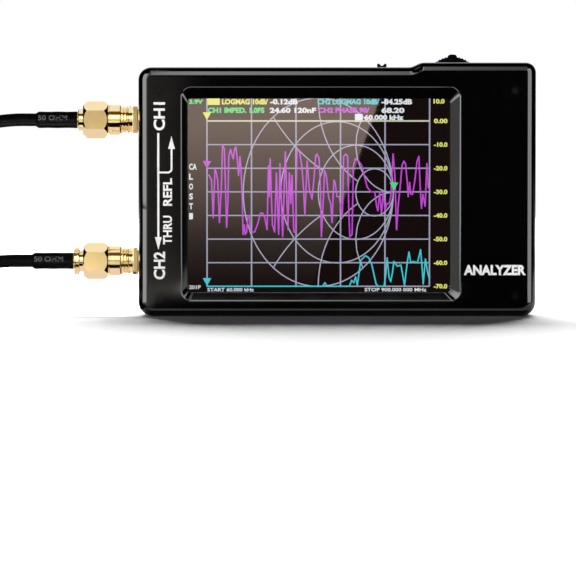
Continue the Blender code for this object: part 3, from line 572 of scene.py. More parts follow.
@dataclass
class Case:
    """Two moulded shells with a stepped top edge, and the four screws that hold them."""

    maker: Maker
    width: float = 93.0 * MM
    height: float = 58.3 * MM
    step_rise: float = 1.1 * MM
    step_start: float = 16.7 * MM
    step_end: float = 20.3 * MM
    edge_round: float = 2.2 * MM
    wall: float = 1.9 * MM
    seam: float = 0.6 * MM
    seam_gap: float = 0.2 * MM
    front: float = -8.25 * MM
    rear: float = 8.25 * MM
    sink: float = 2.4 * MM

    def outline(self, inset: float) -> list[Flat]:
        """The case's outline, this far inside its wall, with the S-shaped step at the top."""
        left, right, low = -self.width / 2 + inset, self.width / 2 - inset, inset
        top, raised = self.height - inset, self.height + self.step_rise - inset
        bottom, top_left, top_right = (max(r * MM - inset, 0.3 * MM) for r in (3.4, 3.0, 2.4))
        points = quarter((left + bottom, low + bottom), bottom, 180, 12)
        points += quarter((right - bottom, low + bottom), bottom, 270, 12)
        points += quarter((right - top_right, raised - top_right), top_right, 0, 12)
        for i in range(13):
            share = i / 12
            rise = self.step_rise * (1 + math.cos(math.pi * share)) / 2
            points.append((self.step_end + (self.step_start - self.step_end) * share, top + rise))
        points += quarter((left + top_left, top - top_left), top_left, 90, 12)
        return points

    def half(self, name: str, seam: float, face: float) -> bpy.types.Object:
        """One half of the case: a hollow tray with a rounded rim, and slots for the necks of the ports."""
        side = 1 if face > seam else -1
        tray = plate(name, self.outline(0), seam, face)
        round_rim(tray, face, self.edge_round, 10)
        hollow = plate("hollow", self.outline(self.wall), seam - side * 2 * MM, face - side * self.wall)
        combine(tray, hollow, Joining.CUT)
        half = 2.8 * MM
        for z in PORT_HEIGHTS:
            neck = rounded(-48 * MM, -44 * MM, z - half, z + half, 0.3 * MM)
            combine(tray, plate("slot", neck, -2.2 * MM, 3.4 * MM), Joining.CUT)
        return tray

    def build_front(self) -> bpy.types.Object:
        """The front shell, with the sloped frame round the screen."""
        shell = self.half("case_front", self.seam - self.seam_gap / 2, self.front)
        depth, above = 1.3 * MM, 0.4 * MM
        rim = (-36.4 * MM, 28.8 * MM, 3.7 * MM, 53.6 * MM)
        floor = (-35.1 * MM, 26.5 * MM, 5.5 * MM, 51.1 * MM)
        start = [r + (r - f) * above / depth for r, f in zip(rim, floor, strict=True)]
        wide, narrow = rounded(*start, 2.4 * MM), rounded(*floor, 1.5 * MM)
        recess = plate("recess", wide, self.front - above, self.front + depth)
        for vertex in recess.data.vertices:
            if vertex.co.y > self.front:
                here = Vector((vertex.co.x, vertex.co.z))
                index = min(range(len(wide)), key=lambda i: (Vector(wide[i]) - here).length)
                vertex.co.x, vertex.co.z = narrow[index]
        combine(shell, recess, Joining.CUT)
        inner = [-35.0 * MM, 26.4 * MM, 5.6 * MM, 51.0 * MM]
        window = plate("window", rounded(*inner, 0.8 * MM), self.front - 1 * MM, self.front + 4 * MM)
        combine(shell, window, Joining.CUT)
        round_rim(shell, self.front, 0.26 * MM, 4, (rim[0] - above, rim[1] + above))
        soften(shell, 0.12 * MM, 3, 20)
        return self.maker.finish(shell, ABS_MOULDED, Body.CASE, Slot.SHELL, ["front_shell"])

    def build_rear(self) -> bpy.types.Object:
        """The rear shell, with seats for the screws and slots for what stands in the top edge."""
        shell = self.half("case_rear", self.seam + self.seam_gap / 2, self.rear)
        upright = Matrix.Rotation(math.pi / 2, 4, "Z")
        for x, z in BOSSES:
            seat = turned("seat", [(0, 0), (4 * MM, 0), (4 * MM, self.sink), (0, self.sink)], steps=48)
            seat.data.transform(Matrix.Translation((x, self.rear - self.sink, z)) @ upright)
            combine(shell, seat, Joining.CUT)
        charging = rounded(-8.75 * MM, 0.75 * MM, 1.3 * MM, 5.1 * MM, 1.8 * MM)
        knob = rounded(9.26 * MM, 14.06 * MM, 1.9 * MM, 4.1 * MM, 0.3 * MM)
        jog = rounded(20.9 * MM, 33.7 * MM, 1.3 * MM, 4.7 * MM, 0.4 * MM)
        for outline in (charging, knob, jog):
            slot = plate("slot", outline, -self.height - 3 * MM, -self.height + 3 * MM)
            slot.data.transform(Matrix.Rotation(-math.pi / 2, 4, "X"))
            combine(shell, slot, Joining.CUT)
        soften(shell, 0.13 * MM, 3)
        return self.maker.finish(shell, ABS_MOULDED, Body.CASE, Slot.SHELL, ["rear_shell"])

    def build_screw(self, number: int, place: Flat) -> bpy.types.Object:
        """A pan-head screw with a cross recess, sunk in the rear shell."""
        name = f"screw_{number}"
        tip, head, shank, under = -9 * MM, 2.1 * MM, 1.1 * MM, -1.2 * MM
        profile = [(tip, 0), (0.35 * MM, 0), (0.3 * MM, 1.5 * MM), (0, 2.0 * MM), (-0.3 * MM, head)]
        profile += [(under, head), (under, shank), (tip, shank)]
        screw = turned(name, profile, steps=48)
        blade_outline = rounded(-0.3 * MM, 1 * MM, -1.25 * MM, 1.25 * MM, 0.1 * MM, 3)
        for turn in (0, math.pi / 2):
            blade = plate("blade", blade_outline, -0.2 * MM, 0.2 * MM)
            blade.data.transform(Matrix.Rotation(turn, 4, "X"))
            combine(screw, blade, Joining.CUT)
        turn = Matrix.Rotation(math.pi / 2, 4, "Z")
        screw.data.transform(Matrix.Translation((place[0], self.rear + under, place[1])) @ turn)
        soften(screw, 0.05 * MM, 2, 40)
        return self.maker.finish(screw, STEEL_BLACK, Body.CASE, Slot.STEEL, [f"case_screw_{number}"])

    def build(self) -> None:
        """Makes both shells and the screws."""
        self.build_front()
        self.build_rear()
        for number, place in enumerate(BOSSES, start=1):
            self.build_screw(number, place)


# ---------------------------------------------------------------------------------------------------------
# Lettering and lines


@dataclass
class Draughtsman:
    """Draws flat lines, shapes and letters on a plane that faces -Y."""

    maker: Maker
    depth: float
    thick: float = 0.02 * MM

    def strokes(
        self, name: str, paths: Sequence[Sequence[Flat]], width: float, finish: "Finish | Lit"
    ) -> bpy.types.Object:
        """Lines of one width and colour.

        Args:
            name: the piece's name.
            paths: each line's points, X and Z in millimetres.
            width: the lines' width in millimetres.
            finish: their finish.

        Returns:
            One mesh with every line.
        """
        curve = bpy.data.curves.new(name, "CURVE")
        curve.dimensions = "3D"
        curve.bevel_depth = width / 2 * MM
        curve.bevel_resolution = 1
        curve.use_fill_caps = True
        for path in paths:
            spline = curve.splines.new("POLY")
            spline.points.add(len(path) - 1)
            for point, (x, z) in zip(spline.points, path, strict=True):
                point.co = (x * MM, 0, z * MM, 1)
        obj = bpy.data.objects.new(name, curve)
        bpy.context.scene.collection.objects.link(obj)
        pick(obj)
        bpy.ops.object.convert(target="MESH")
        obj = bpy.context.object
        flatten = Matrix.Diagonal((1, self.thick / (width * MM), 1, 1))
        obj.data.transform(Matrix.Translation((0, self.depth, 0)) @ flatten)
        return self.maker.finish(obj, finish, Body.CASE, Slot.WHITE)

    def shape(self, name: str, outline: Sequence[Flat], finish: "Finish | Lit") -> bpy.types.Object:
        """A filled shape, with its outline in millimetres."""
        points = [(x * MM, z * MM) for x, z in outline]
        obj = plate(name, points, self.depth - self.thick / 2, self.depth + self.thick / 2)
        return self.maker.finish(obj, finish, Body.CASE, Slot.WHITE)

    def words(
        self,
        name: str,
        text: str,
        box: tuple[float, float, float, float],
        finish: "Finish | Lit",
        weight: float = 0.0,
        upright: bool = True,
    ) -> bpy.types.Object:
        """Letters that fill a box.

        Args:
            name: the piece's name.
            text: what it says.
            box: left, right, bottom and top in millimetres.
            finish: its finish.
            weight: how much bolder each stroke is, in letter heights.
            upright: False for letters that read from bottom to top.

        Returns:
            The letters as one mesh.
        """
        obj = letters(name, text, weight)
        if not upright:
            obj.data.transform(Matrix.Rotation(math.pi / 2, 4, "Z"))
        low, high = extent(obj)
        left, right, bottom, top = (value * MM for value in box)
        size = Vector(((right - left) / (high.x - low.x), (top - bottom) / (high.y - low.y), self.thick, 1))
        turn = Matrix.Rotation(math.pi / 2, 4, "X")
        place = Matrix.Translation((left, self.depth, bottom)) @ turn @ Matrix.Diagonal(size)
        obj.data.transform(place @ Matrix.Translation((-low.x, -low.y, 0)))
        return self.maker.finish(obj, finish, Body.CASE, Slot.WHITE)


def apart(points: Sequence[Flat], extra: float) -> list[list[Flat]]:
    """Cuts a jagged line into its straight strokes, each a little longer so that sharp corners stay whole."""
    strokes = []
    for first, last in zip(points, points[1:], strict=False):
        start, end = Vector(first), Vector(last)
        along = (end - start).normalized() * extra
        strokes.append([tuple(start - along), tuple(end + along)])
    return strokes


def letters(name: str, text: str, weight: float) -> bpy.types.Object:
    """A mesh of letters one unit high and one unit thick, in the XY plane."""
    pick()
    bpy.ops.object.text_add()
    obj = bpy.context.object
    obj.name = name
    obj.data.body = text
    obj.data.extrude = 0.5
    obj.data.offset = weight
    obj.data.resolution_u = 3
    bpy.ops.object.convert(target="MESH")
    obj = bpy.context.object
    obj.data.name = name
    return obj


def extent(obj: bpy.types.Object) -> tuple[Vector, Vector]:
    """The lowest and highest corners of a mesh."""
    points = [v.co for v in obj.data.vertices]
    low, high = (Vector([edge(p[i] for p in points) for i in range(3)]) for edge in (min, max))
    return low, high


# ---------------------------------------------------------------------------------------------------------
# Screen

# What leaks through the display where it is black, and what each colour filter lets through.
DISPLAY_DARK = Lit("backlight_leak_brown_black", "#1d1311")
GRID_VIOLET = Lit("backlight_through_lavender", "#cbc6de")
CHART_VIOLET = Lit("backlight_through_pale_lavender", "#d8d2ea")
PHASE_MAGENTA = Lit("backlight_through_magenta", "#e455ee", 1.2)
GAIN_CYAN = Lit("backlight_through_cyan", "#4fe4ee", 1.2)
MARK_GREEN = Lit("backlight_through_green", "#56f58b", 1.3)
SCALE_YELLOW = Lit("backlight_through_yellow", "#fdfb7a", 1.3)
ZERO_CREAM = Lit("backlight_through_cream", "#fffbd6")
PLAIN_WHITE = Lit("backlight_through_white", "#ffffff", 1.3)


@dataclass
class Screen:
    """The lit page behind the glass: a grid, a circular impedance chart, three traces, markers and labels.

    The grid's place and the size of one division are in millimetres.
    """

    maker: Maker
    left: float = -30.5
    top: float = 45.75
    across: float = 10.44
    down: float = 5.54
    columns: int = 5
    rows: int = 7

    def __post_init__(self) -> None:
        """Puts the page in the narrow gap between the cover glass and the display."""
        gap_front, gap_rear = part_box("touch_panel")[1].y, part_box("lcd_glass")[0].y
        self.pen = Draughtsman(self.maker, (gap_front + gap_rear) / 2 + 0.03 * MM)
        self.front_pen = Draughtsman(self.maker, (gap_front + gap_rear) / 2 - 0.03 * MM)

    def at(self, column: float, row: float) -> Flat:
        """A point of the page, from its place on the grid."""
        return self.left + column * self.across, self.top - row * self.down

    def build_grid(self) -> None:
        """Thin lines, with a brighter one at the top for the reference level."""
        lines = [[self.at(c, -0.95), self.at(c, self.rows)] for c in range(self.columns + 1)]
        lines += [[self.at(0, r), self.at(self.columns, r)] for r in range(1, self.rows + 1)]
        self.pen.strokes("page_grid", lines, 0.34, GRID_VIOLET)
        self.front_pen.strokes("page_level", [[self.at(0, 0), self.at(self.columns, 0)]], 0.42, ZERO_CREAM)

    def build_chart(self) -> None:
        """Circles of equal resistance that all touch at the right, and arcs of equal reactance."""
        centre, radius_x, radius_z = self.at(2.5, 3.02), 17.6, 22.1

        def on_page(real: float, imaginary: float) -> Flat:
            return centre[0] + real * radius_x, centre[1] + imaginary * radius_z

        paths = []
        for resistance in (0.0, 1 / 3, 1.0, 3.0):
            size = 1 / (1 + resistance)
            turn = [math.tau * i / 72 for i in range(73)]
            paths.append([on_page(1 - size + size * math.cos(a), size * math.sin(a)) for a in turn])
        for reactance, last in ((0.5, 1.0), (1.0, 3.0), (2.0, 60.0)):
            for sign in (1, -1):
                steps = [last * (i / 30) ** 2 for i in range(31)]
                points = []
                for resistance in steps:
                    load = complex(resistance, sign * reactance)
                    reflected = (load - 1) / (load + 1)
                    points.append(on_page(reflected.real, reflected.imag))
                paths.append(points)
        self.pen.strokes("page_chart", paths, 0.3, CHART_VIOLET)

    def build_traces(self) -> None:
        """A noisy phase trace and a gain trace that rises from the bottom line at the right."""
        phase = (
            "0 2.3 .05 2.3 .1 2.5 .14 4.1 .18 2 .21 2.2 .24 2.5 .28 4.3 .32 2.9 .35 1 .39 1.2 .41 2.5 .44 "
            "4.5 .47 3.4 .49 1.5 .53 1.2 .56 1.4 .59 1.6 .62 1.2 .65 1.1 .68 1.6 .71 2.3 .74 1.5 .76 1.9 "
            ".79 3.2 .81 4.8 .84 4.4 .86 4.8 .89 4.7 .92 4 .95 4 .97 4.6 1 4.7 1.07 4.7 1.14 4.35 1.2 3.9 "
            "1.25 3.9 1.3 4.1 1.35 4.6 1.38 1.9 1.4 3.2 1.42 1.6 1.44 2.9 1.47 4.4 1.52 4.7 1.56 2.2 1.61 "
            "4.8 1.64 1.8 1.7 4.9 1.76 1.3 1.82 4.6 1.85 2.2 1.88 3.5 1.91 2.3 1.95 4.7 1.99 4.7 2.02 1.2 "
            "2.08 1.3 2.13 1.9 2.17 2.9 2.2 4 2.25 1.7 2.3 2.9 2.36 3.3 2.41 2.3 2.44 1.5 2.47 1.4 2.52 "
            "1.6 2.55 2.9 2.57 4.9 2.61 3.5 2.64 2.1 2.68 2.3 2.73 3.2 2.78 3.5 2.81 4.3 2.85 2.5 2.88 "
            "2.6 2.92 3.2 2.97 3.2 3.01 3.7 3.04 4.1 3.07 1.5 3.12 1.4 3.16 1.5 3.19 4 3.21 4.9 3.26 4.8 "
            "3.29 1.9 3.33 1.6 3.41 1.7 3.48 1.9 3.53 2.3 3.6 2.8 3.68 3 3.77 3 3.81 3.6 3.84 3.8 3.88 3 "
            "3.92 3.9 3.96 3 4 3.8 4.04 3.5 4.09 3.5 4.13 3.2 4.18 1.4 4.22 2.3 4.26 4.6 4.3 3.5 4.35 2.6 "
            "4.38 1.9 4.42 1.7 4.46 1.8 4.5 2.6 4.52 3.2 4.55 2.6 4.58 3.1 4.62 3.1 4.67 2.5 4.72 1.7 "
            "4.76 1.5 4.79 2.8 4.82 3.7 4.85 3.1 4.9 3.6 4.94 1.8 4.97 2.8 5 2.9"
        )
        gain = (
            "0 7 2.6 7 2.65 6.85 2.7 7 3.2 7 3.25 6.75 3.3 6.85 3.34 6.6 3.38 6.95 3.42 6.4 3.46 5.9 3.56 "
            "5.7 3.64 5.8 3.7 6.05 3.8 6.9 3.85 7 3.98 7 4.02 6.5 4.05 5.8 4.09 6.6 4.13 6.8 4.17 6.4 4.2 "
            "5.95 4.28 6.15 4.36 6.1 4.44 6.95 4.5 6 4.54 5.55 4.58 6 4.63 5.95 4.73 6 4.77 5.7 4.8 5.45 "
            "4.84 6.3 4.86 6.9 4.91 5.85 4.96 6.4 5 6.7"
        )
        for name, words, width, finish in (
            ("page_phase", phase, 0.36, PHASE_MAGENTA),
            ("page_gain", gain, 0.36, GAIN_CYAN),
        ):
            numbers = [float(word) for word in words.split()]
            points = [self.at(c, r) for c, r in zip(numbers[::2], numbers[1::2], strict=True)]
            self.front_pen.strokes(name, apart(points, width / 3), width, finish)

    def build_markers(self) -> None:
        """Small triangles that point down at the traces."""
        for name, column, row, finish in (
            ("marker_level", 0.0, -0.04, SCALE_YELLOW),
            ("marker_phase", 0.0, 2.02, PHASE_MAGENTA),
            ("marker_gain", 0.0, 6.98, GAIN_CYAN),
            ("marker_chart", 4.2, 2.93, MARK_GREEN),
        ):
            x, z = self.at(column, row)
            self.front_pen.shape(name, [(x, z), (x + 1.0, z + 1.8), (x - 1.0, z + 1.8)], finish)

    def build_labels(self) -> None:
        """Header rows, scale numbers, state letters and the sweep's limits."""
        rows = (
            ("label_battery", "3.9V", (-34.7, -31.4, 49.7, 50.8), MARK_GREEN),
            ("label_a", "LOGMAG 10dB/", (-27.0, -16.2, 49.6, 50.9), SCALE_YELLOW),
            ("label_a_value", "-0.12dB", (-15.7, -9.2, 49.6, 50.9), PLAIN_WHITE),
            ("label_c", "CH2 LOGMAG 10dB/", (-4.6, 9.9, 49.6, 50.9), GAIN_CYAN),
            ("label_c_value", "-84.25dB", (10.4, 17.6, 49.6, 50.9), PLAIN_WHITE),
            ("label_b", "CH1 IMPED. 1.0FS", (-30.3, -17.0, 47.6, 48.9), MARK_GREEN),
            ("label_b_value", "24.60 120nF", (-15.8, -4.9, 47.6, 48.9), PLAIN_WHITE),
            ("label_d", "CH2 PHASE 90/", (-4.4, 7.6, 47.6, 48.9), PHASE_MAGENTA),
            ("label_d_value", "68.20", (10.4, 15.8, 47.6, 48.9), PLAIN_WHITE),
            ("label_marker", "60.000 kHz", (6.4, 15.6, 45.95, 47.2), PLAIN_WHITE),
            ("label_points", "201P", (-34.7, -32.0, 6.3, 7.2), PLAIN_WHITE),
            ("label_start", "START 60.000 kHz", (-30.4, -19.5, 5.75, 6.6), PLAIN_WHITE),
            ("label_stop", "STOP 900.000 000 MHz", (6.5, 21.0, 5.75, 6.6), PLAIN_WHITE),
        )
        for name, text, box, finish in rows:
            self.pen.words(name, text, box, finish, 0.05 if box[3] - box[2] > 1 else 0.02)
        for name, (left, right, low, high), finish in (
            ("label_a_box", (-30.4, -27.5, 49.5, 51.0), SCALE_YELLOW),
            ("label_marker_box", (4.2, 6.0, 45.5, 47.4), PLAIN_WHITE),
        ):
            self.pen.shape(name, [(left, low), (right, low), (right, high), (left, high)], finish)
        for row in range(self.rows + 1):
            z = self.at(0, row)[1]
            text = f"{-10 * row}.0" if row else "0.00"
            self.pen.words(f"scale_{row}", text, (22.7, 25.9, z - 0.55, z + 0.55), SCALE_YELLOW, 0.045)
        self.pen.words("scale_top", "10.0", (22.6, 25.2, 49.8, 50.9), SCALE_YELLOW, 0.045)
        for number, text in enumerate(("CA", "L", "O", "S", "T", "I")):
            z = 34.3 - 2.32 * number
            right = -32.9 if len(text) > 1 else -33.8
            self.pen.words(f"state_{number}", text, (-34.7, right, z, z + 1.45), PLAIN_WHITE, 0.035)

    def build(self) -> None:
        """Draws the whole page."""
        self.build_grid()
        self.build_chart()
        self.build_traces()
        self.build_markers()
        self.build_labels()


@dataclass
class FrontPrint:
    """White print on the front shell: port names, a signal path with arrows and a plain title."""

    maker: Maker
    face: float = -8.25 * MM

    def build(self) -> None:
        """Prints the words and the arrows."""
        pen = Draughtsman(self.maker, self.face - 0.004 * MM)
        for name, text, box in (
            ("print_port_1", "CH1", (-42.9, -40.2, 43.5, 50.1)),
            ("print_port_2", "CH2", (-42.9, -40.2, 8.7, 15.2)),
            ("print_reflect", "REFL", (-40.7, -38.6, 25.9, 32.4)),
            ("print_through", "THRU", (-40.7, -38.6, 16.9, 23.6)),
        ):
            pen.words(name, text, box, SCREEN_INK, 0.03, upright=False)
        pen.words("print_title", "ANALYZER", (29.6, 44.1, 9.7, 12.1), SCREEN_INK, 0.045)
        quarter_turn = [math.radians(15 * i) for i in range(7)]
        bend = [(-39.6 + 0.9 * math.sin(a), 34.6 - 0.9 * math.cos(a)) for a in quarter_turn]
        path = [(-41.8, 33.7), *bend, (-38.7, 39.4)]
        pen.strokes("print_lines", [[(-41.8, 42.9), (-41.8, 18.4)], path], 0.5, SCREEN_INK)
        for name, x, base, tip in (
            ("print_arrow_down", -41.8, 18.6, 15.7),
            ("print_arrow_up", -38.7, 39.2, 42.2),
        ):
            pen.shape(name, [(x - 0.8, base), (x + 0.8, base), (x, tip)], SCREEN_INK)


# ---------------------------------------------------------------------------------------------------------
# Controls on the top edge


@dataclass
class TopControls:
    """The power switch's knob and the ribbed jog lever."""

    maker: Maker
    lever_radius: float = 6.6 * MM
    nub_radius: float = 7.05 * MM

    def build_knob(self) -> bpy.types.Object:
        """A small block with two ridges to push against."""
        low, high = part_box("power_switch_knob")
        middle = (low.x + high.x) / 2
        high = high + Vector((0, 0, 0.36 * MM))
        height = high.z - low.z
        ridge, dip = 0.46 * MM, 0.5 * MM
        outline = [(low.x, low.z), (high.x, low.z)]
        for side in (1, -1):
            edge = middle + side * (high.x - low.x) / 2
            ridge_points = [(edge, low.z + height - 0.05 * MM), (edge - side * ridge, high.z)]
            ridge_points += [(edge - side * 2 * ridge, high.z - dip)]
            outline += ridge_points if side == 1 else ridge_points[::-1]
        knob = plate("power_knob", outline, low.y, high.y)
        soften(knob, 0.1 * MM, 3)
        return self.maker.finish(knob, NYLON_MOULDED, Body.KNOB, Slot.BLACK, ["power_switch_knob"])

    def build_lever(self) -> bpy.types.Object:
        """A fan with ribs round its edge and a raised nub, rocking on its pin."""
        pin = Vector((27.3 * MM, 3.0 * MM, 54.4 * MM))
        half, ribs, per_rib = 1.4 * MM, 18, 4
        spread, nub = math.radians(64), math.radians(8)
        outline = []
        for i in range(2 * ribs * per_rib + 1):
            angle = -spread + spread * i / (ribs * per_rib)
            radius = self.lever_radius - 0.1 * MM * (1 - math.cos(math.tau * i / per_rib / 2))
            edge = min(1.0, max(0.0, (nub - abs(angle)) / math.radians(6) + 0.5))
            radius += (self.nub_radius - radius) * edge * edge * (3 - 2 * edge)
            outline.append((pin.x + radius * math.sin(angle), pin.z + radius * math.cos(angle)))
        for i in range(17):
            angle = spread + (math.tau - 2 * spread) * i / 16
            outline.append((pin.x + 2.2 * MM * math.sin(angle), pin.z + 2.2 * MM * math.cos(angle)))
        lever = plate("jog_fan", outline, pin.y - half, pin.y + half)
        turn = [math.tau * i / 32 for i in range(32)]
        bore = [(pin.x + 1.05 * MM * math.sin(a), pin.z + 1.05 * MM * math.cos(a)) for a in turn]
        combine(lever, plate("bore", bore, pin.y - 2 * half, pin.y + 2 * half), Joining.CUT)
        soften(lever, 0.12 * MM, 2, 60)
        return self.maker.finish(lever, NYLON_MOULDED, Body.LEVER, Slot.BLACK, ["jog_lever"])

    def build(self) -> None:
        """Makes both controls."""
        self.build_knob()
        self.build_lever()


# ---------------------------------------------------------------------------------------------------------
# Ports and leads


@dataclass
class Port:
    """A gold-plated coaxial jack: square flange, threaded barrel and white insulator."""

    maker: Maker
    number: int
    thread_radius: float = 3.175 * MM
    thread_depth: float = 0.24 * MM
    pitch: float = THREAD_PITCH
    barrel: float = 7.5 * MM
    flange: float = 1.15 * MM

    def __post_init__(self) -> None:
        """Reads the jack's place: the axis, and the inner face of its flange."""
        low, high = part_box(f"port_{self.number}_jack")
        self.place = Vector((low.x + self.barrel + self.flange, (low.y + high.y) / 2, (low.z + high.z) / 2))

    def build_thread(self) -> bpy.types.Object:
        """One helical ridge along the barrel, wound by a screw modifier from a V-shaped section."""
        pick()
        bpy.ops.mesh.primitive_circle_add(vertices=4, fill_type="NOTHING")
        ridge = bpy.context.object
        ridge.name = f"port_{self.number}_thread"
        root, crest = self.thread_radius - self.thread_depth - 0.1 * MM, self.thread_radius
        section = (
            (0, root),
            (self.pitch * 0.3, crest),
            (self.pitch * 0.66, crest),
            (self.pitch * 0.98, root),
        )
        for vertex, (x, radius) in zip(ridge.data.vertices, section, strict=True):
            vertex.co = (x, 0, radius)
        screw = ridge.modifiers.new("thread", "SCREW")
        screw.axis = "X"
        screw.angle = math.tau
        screw.screw_offset = self.pitch
        screw.iterations = 8
        screw.steps = screw.render_steps = 48
        bpy.ops.object.modifier_apply(modifier=screw.name)
        bpy.ops.object.mode_set(mode="EDIT")
        bpy.ops.mesh.select_all(action="DESELECT")
        bpy.ops.mesh.select_mode(type="EDGE")
        bpy.ops.mesh.select_non_manifold()
        bpy.ops.mesh.edge_face_add()
        bpy.ops.mesh.select_mode(type="VERT")
        bpy.ops.mesh.select_all(action="SELECT")
        bpy.ops.mesh.remove_doubles(threshold=0.000001)
        bpy.ops.mesh.normals_make_consistent(inside=False)
        bpy.ops.object.mode_set(mode="OBJECT")
        start = self.place - Vector((self.flange + 0.35 * MM + 9 * self.pitch, 0, 0))
        ridge.data.transform(Matrix.Translation(start))
        return ridge

    def build(self) -> None:
        """Makes the jack and its thread."""
        name = f"port_{self.number}"
        half, centre = 3.1 * MM, self.place
        square = rounded(centre.x - self.flange, centre.x, centre.z - half, centre.z + half, 0.12 * MM, 4)
        jack = plate(f"{name}_body", square, centre.y - half, centre.y + half)
        wide, start, end = 2.5 * MM, centre.x - 0.5 * MM, centre.x + 2.6 * MM
        neck = rounded(start, end, centre.z - wide, centre.z + wide, 0.1 * MM, 3)
        combine(jack, plate("neck", neck, centre.y - wide, centre.y + wide), Joining.ADD)
        root, tip = self.thread_radius - self.thread_depth, -self.flange - self.barrel
        profile = [(-0.4 * MM, 0), (tip, 0), (tip, root - 0.2 * MM), (tip + 0.25 * MM, root)]
        profile.append((-0.4 * MM, root))
        combine(jack, turned("barrel", profile, centre), Joining.ADD)
        bore = [(tip - 1 * MM, 0), (2.0 * MM, 0), (2.0 * MM, 2.1 * MM), (tip - 1 * MM, 2.1 * MM)]
        combine(jack, turned("bore", bore, centre), Joining.CUT)
        soften(jack, 0.12 * MM, 3, 40)
        self.maker.finish(jack, GOLD_PLATED, Body.CASE, Slot.GOLD, [f"{name}_jack"])
        self.maker.finish(self.build_thread(), GOLD_PLATED, Body.CASE, Slot.GOLD)


@dataclass
class LeadEnd:
    """A screw-on coaxial plug: hexagonal nut with a round collar, body, centre pin and shrunk sleeve.

    Sizes run back from the nut's mouth, which is the zero of every profile; the plug points to +X.
    """

    maker: Maker
    lead: int
    end: str
    has_ring: bool
    mouth: Vector
    turn: Matrix
    across_flats: float = 7.5 * MM
    collar: float = 2.95 * MM
    collar_radius: float = 3.56 * MM
    nut_length: float = 8.85 * MM
    sleeve_radius: float = 1.95 * MM
    sleeve_length: float = 9.9 * MM

    @property
    def tail(self) -> float:
        """Where the body ends and the sleeve starts."""
        return -11.05 * MM if self.has_ring else -10.05 * MM

    def settle(self, obj: bpy.types.Object) -> bpy.types.Object:
        """Moves a piece modelled at the origin to its place."""
        obj.data.transform(Matrix.Translation(self.mouth) @ self.turn)
        return obj

    def build_nut(self) -> bpy.types.Object:
        """The nut: a hexagon trimmed by a double cone, with a collar in front and a bore through both."""
        name = f"lead_{self.lead}_{self.end}_nut"
        pick()
        corner = self.across_flats / 2 / math.cos(math.pi / 6)
        length = self.nut_length - self.collar
        middle = -self.collar - length / 2
        bpy.ops.mesh.primitive_cylinder_add(vertices=6, radius=corner, depth=length, location=(0, 0, 0))
        nut = bpy.context.object
        nut.name = name
        nut.data.name = name
        upright = Matrix.Rotation(math.pi / 2, 4, "Y")
        nut.data.transform(Matrix.Translation((middle, 0, 0)) @ upright)
        angle = math.atan2(nut.data.vertices[0].co.z, nut.data.vertices[0].co.y)
        nut.data.transform(Matrix.Rotation(math.pi / 2 - angle, 4, "X"))
        front, back = -self.collar, -self.nut_length
        small, slope = self.across_flats / 2 - 0.15 * MM, 0.95 * MM
        cone = [(front, 0), (front, small), (front - slope, corner + 0.02 * MM)]
        cone += [(back + slope, corner + 0.02 * MM), (back, small), (back, 0)]
        combine(nut, turned("cone", cone, steps=96), Joining.COMMON)
        radius = self.collar_radius
        ring = [(0, 0), (0, radius - 0.16 * MM), (-0.16 * MM, radius), (front + 0.3 * MM, radius)]
        ring += [(front + 0.16 * MM, radius - 0.14 * MM), (front - 0.5 * MM, radius - 0.14 * MM)]
        ring.append((front - 0.5 * MM, 0))
        combine(nut, turned("collar", ring, steps=96), Joining.ADD)
        wall = back + 2.2 * MM
        bore = [(1 * MM, 0), (1 * MM, 3.35 * MM), (wall, 3.35 * MM), (wall, 2.75 * MM)]
        bore += [(back - 1 * MM, 2.75 * MM), (back - 1 * MM, 0)]
        combine(nut, turned("bore", bore, steps=72), Joining.CUT)
        soften(nut, 0.07 * MM, 3, 25)
        body = f"{self.end}_nut_{self.lead}"
        return self.maker.finish(self.settle(nut), GOLD_PLATED, body, Slot.GOLD, [name], smooth=28)

    def build_thread(self) -> bpy.types.Object:
        """Fine rings inside the nut's mouth, which show in the loose plug."""
        profile = []
        for i in range(7):
            x = -0.3 * MM - THREAD_PITCH * i
            profile += [(x, 3.36 * MM), (x - 0.35 * MM, 3.22 * MM)]
        profile += [(-5.4 * MM, 3.36 * MM), (-5.4 * MM, 3.42 * MM), (-0.3 * MM, 3.42 * MM)]
        rings = turned(f"lead_{self.lead}_{self.end}_nut_thread", profile, steps=48)
        return self.maker.finish(self.settle(rings), GOLD_PLATED, f"{self.end}_nut_{self.lead}", Slot.GOLD)

    def build_body(self) -> bpy.types.Object:
        """The body, from its contact tube to the shoulder and the neck behind the nut."""
        name = f"lead_{self.lead}_{self.end}_plug"
        tail = self.tail
        profile = [(-3.3 * MM, 0.95 * MM), (-3.3 * MM, 1.8 * MM), (-5.0 * MM, 1.8 * MM)]
        profile += [(-5.0 * MM, 3.15 * MM), (-6.4 * MM, 3.15 * MM), (-6.4 * MM, 2.6 * MM)]
        if self.has_ring:
            ring, crown, groove = tail + 1.3 * MM, 3.33 * MM, 3.12 * MM
            profile += [(ring, 2.6 * MM), (ring, 3.2 * MM), (ring - 0.12 * MM, crown)]
            profile += [(ring - 0.42 * MM, crown), (ring - 0.52 * MM, groove)]
            profile += [(ring - 0.78 * MM, groove), (ring - 0.88 * MM, crown)]
            profile += [(tail + 0.12 * MM, crown), (tail, 3.2 * MM)]
        else:
            profile += [(tail + 0.2 * MM, 2.6 * MM), (tail, 2.4 * MM)]
        profile += [(tail, 1.3 * MM), (tail - 6 * MM, 1.3 * MM), (tail - 6 * MM, 0.95 * MM)]
        body = turned(name, profile)
        return self.maker.finish(self.settle(body), GOLD_PLATED, f"lead_{self.lead}", Slot.GOLD, [name])

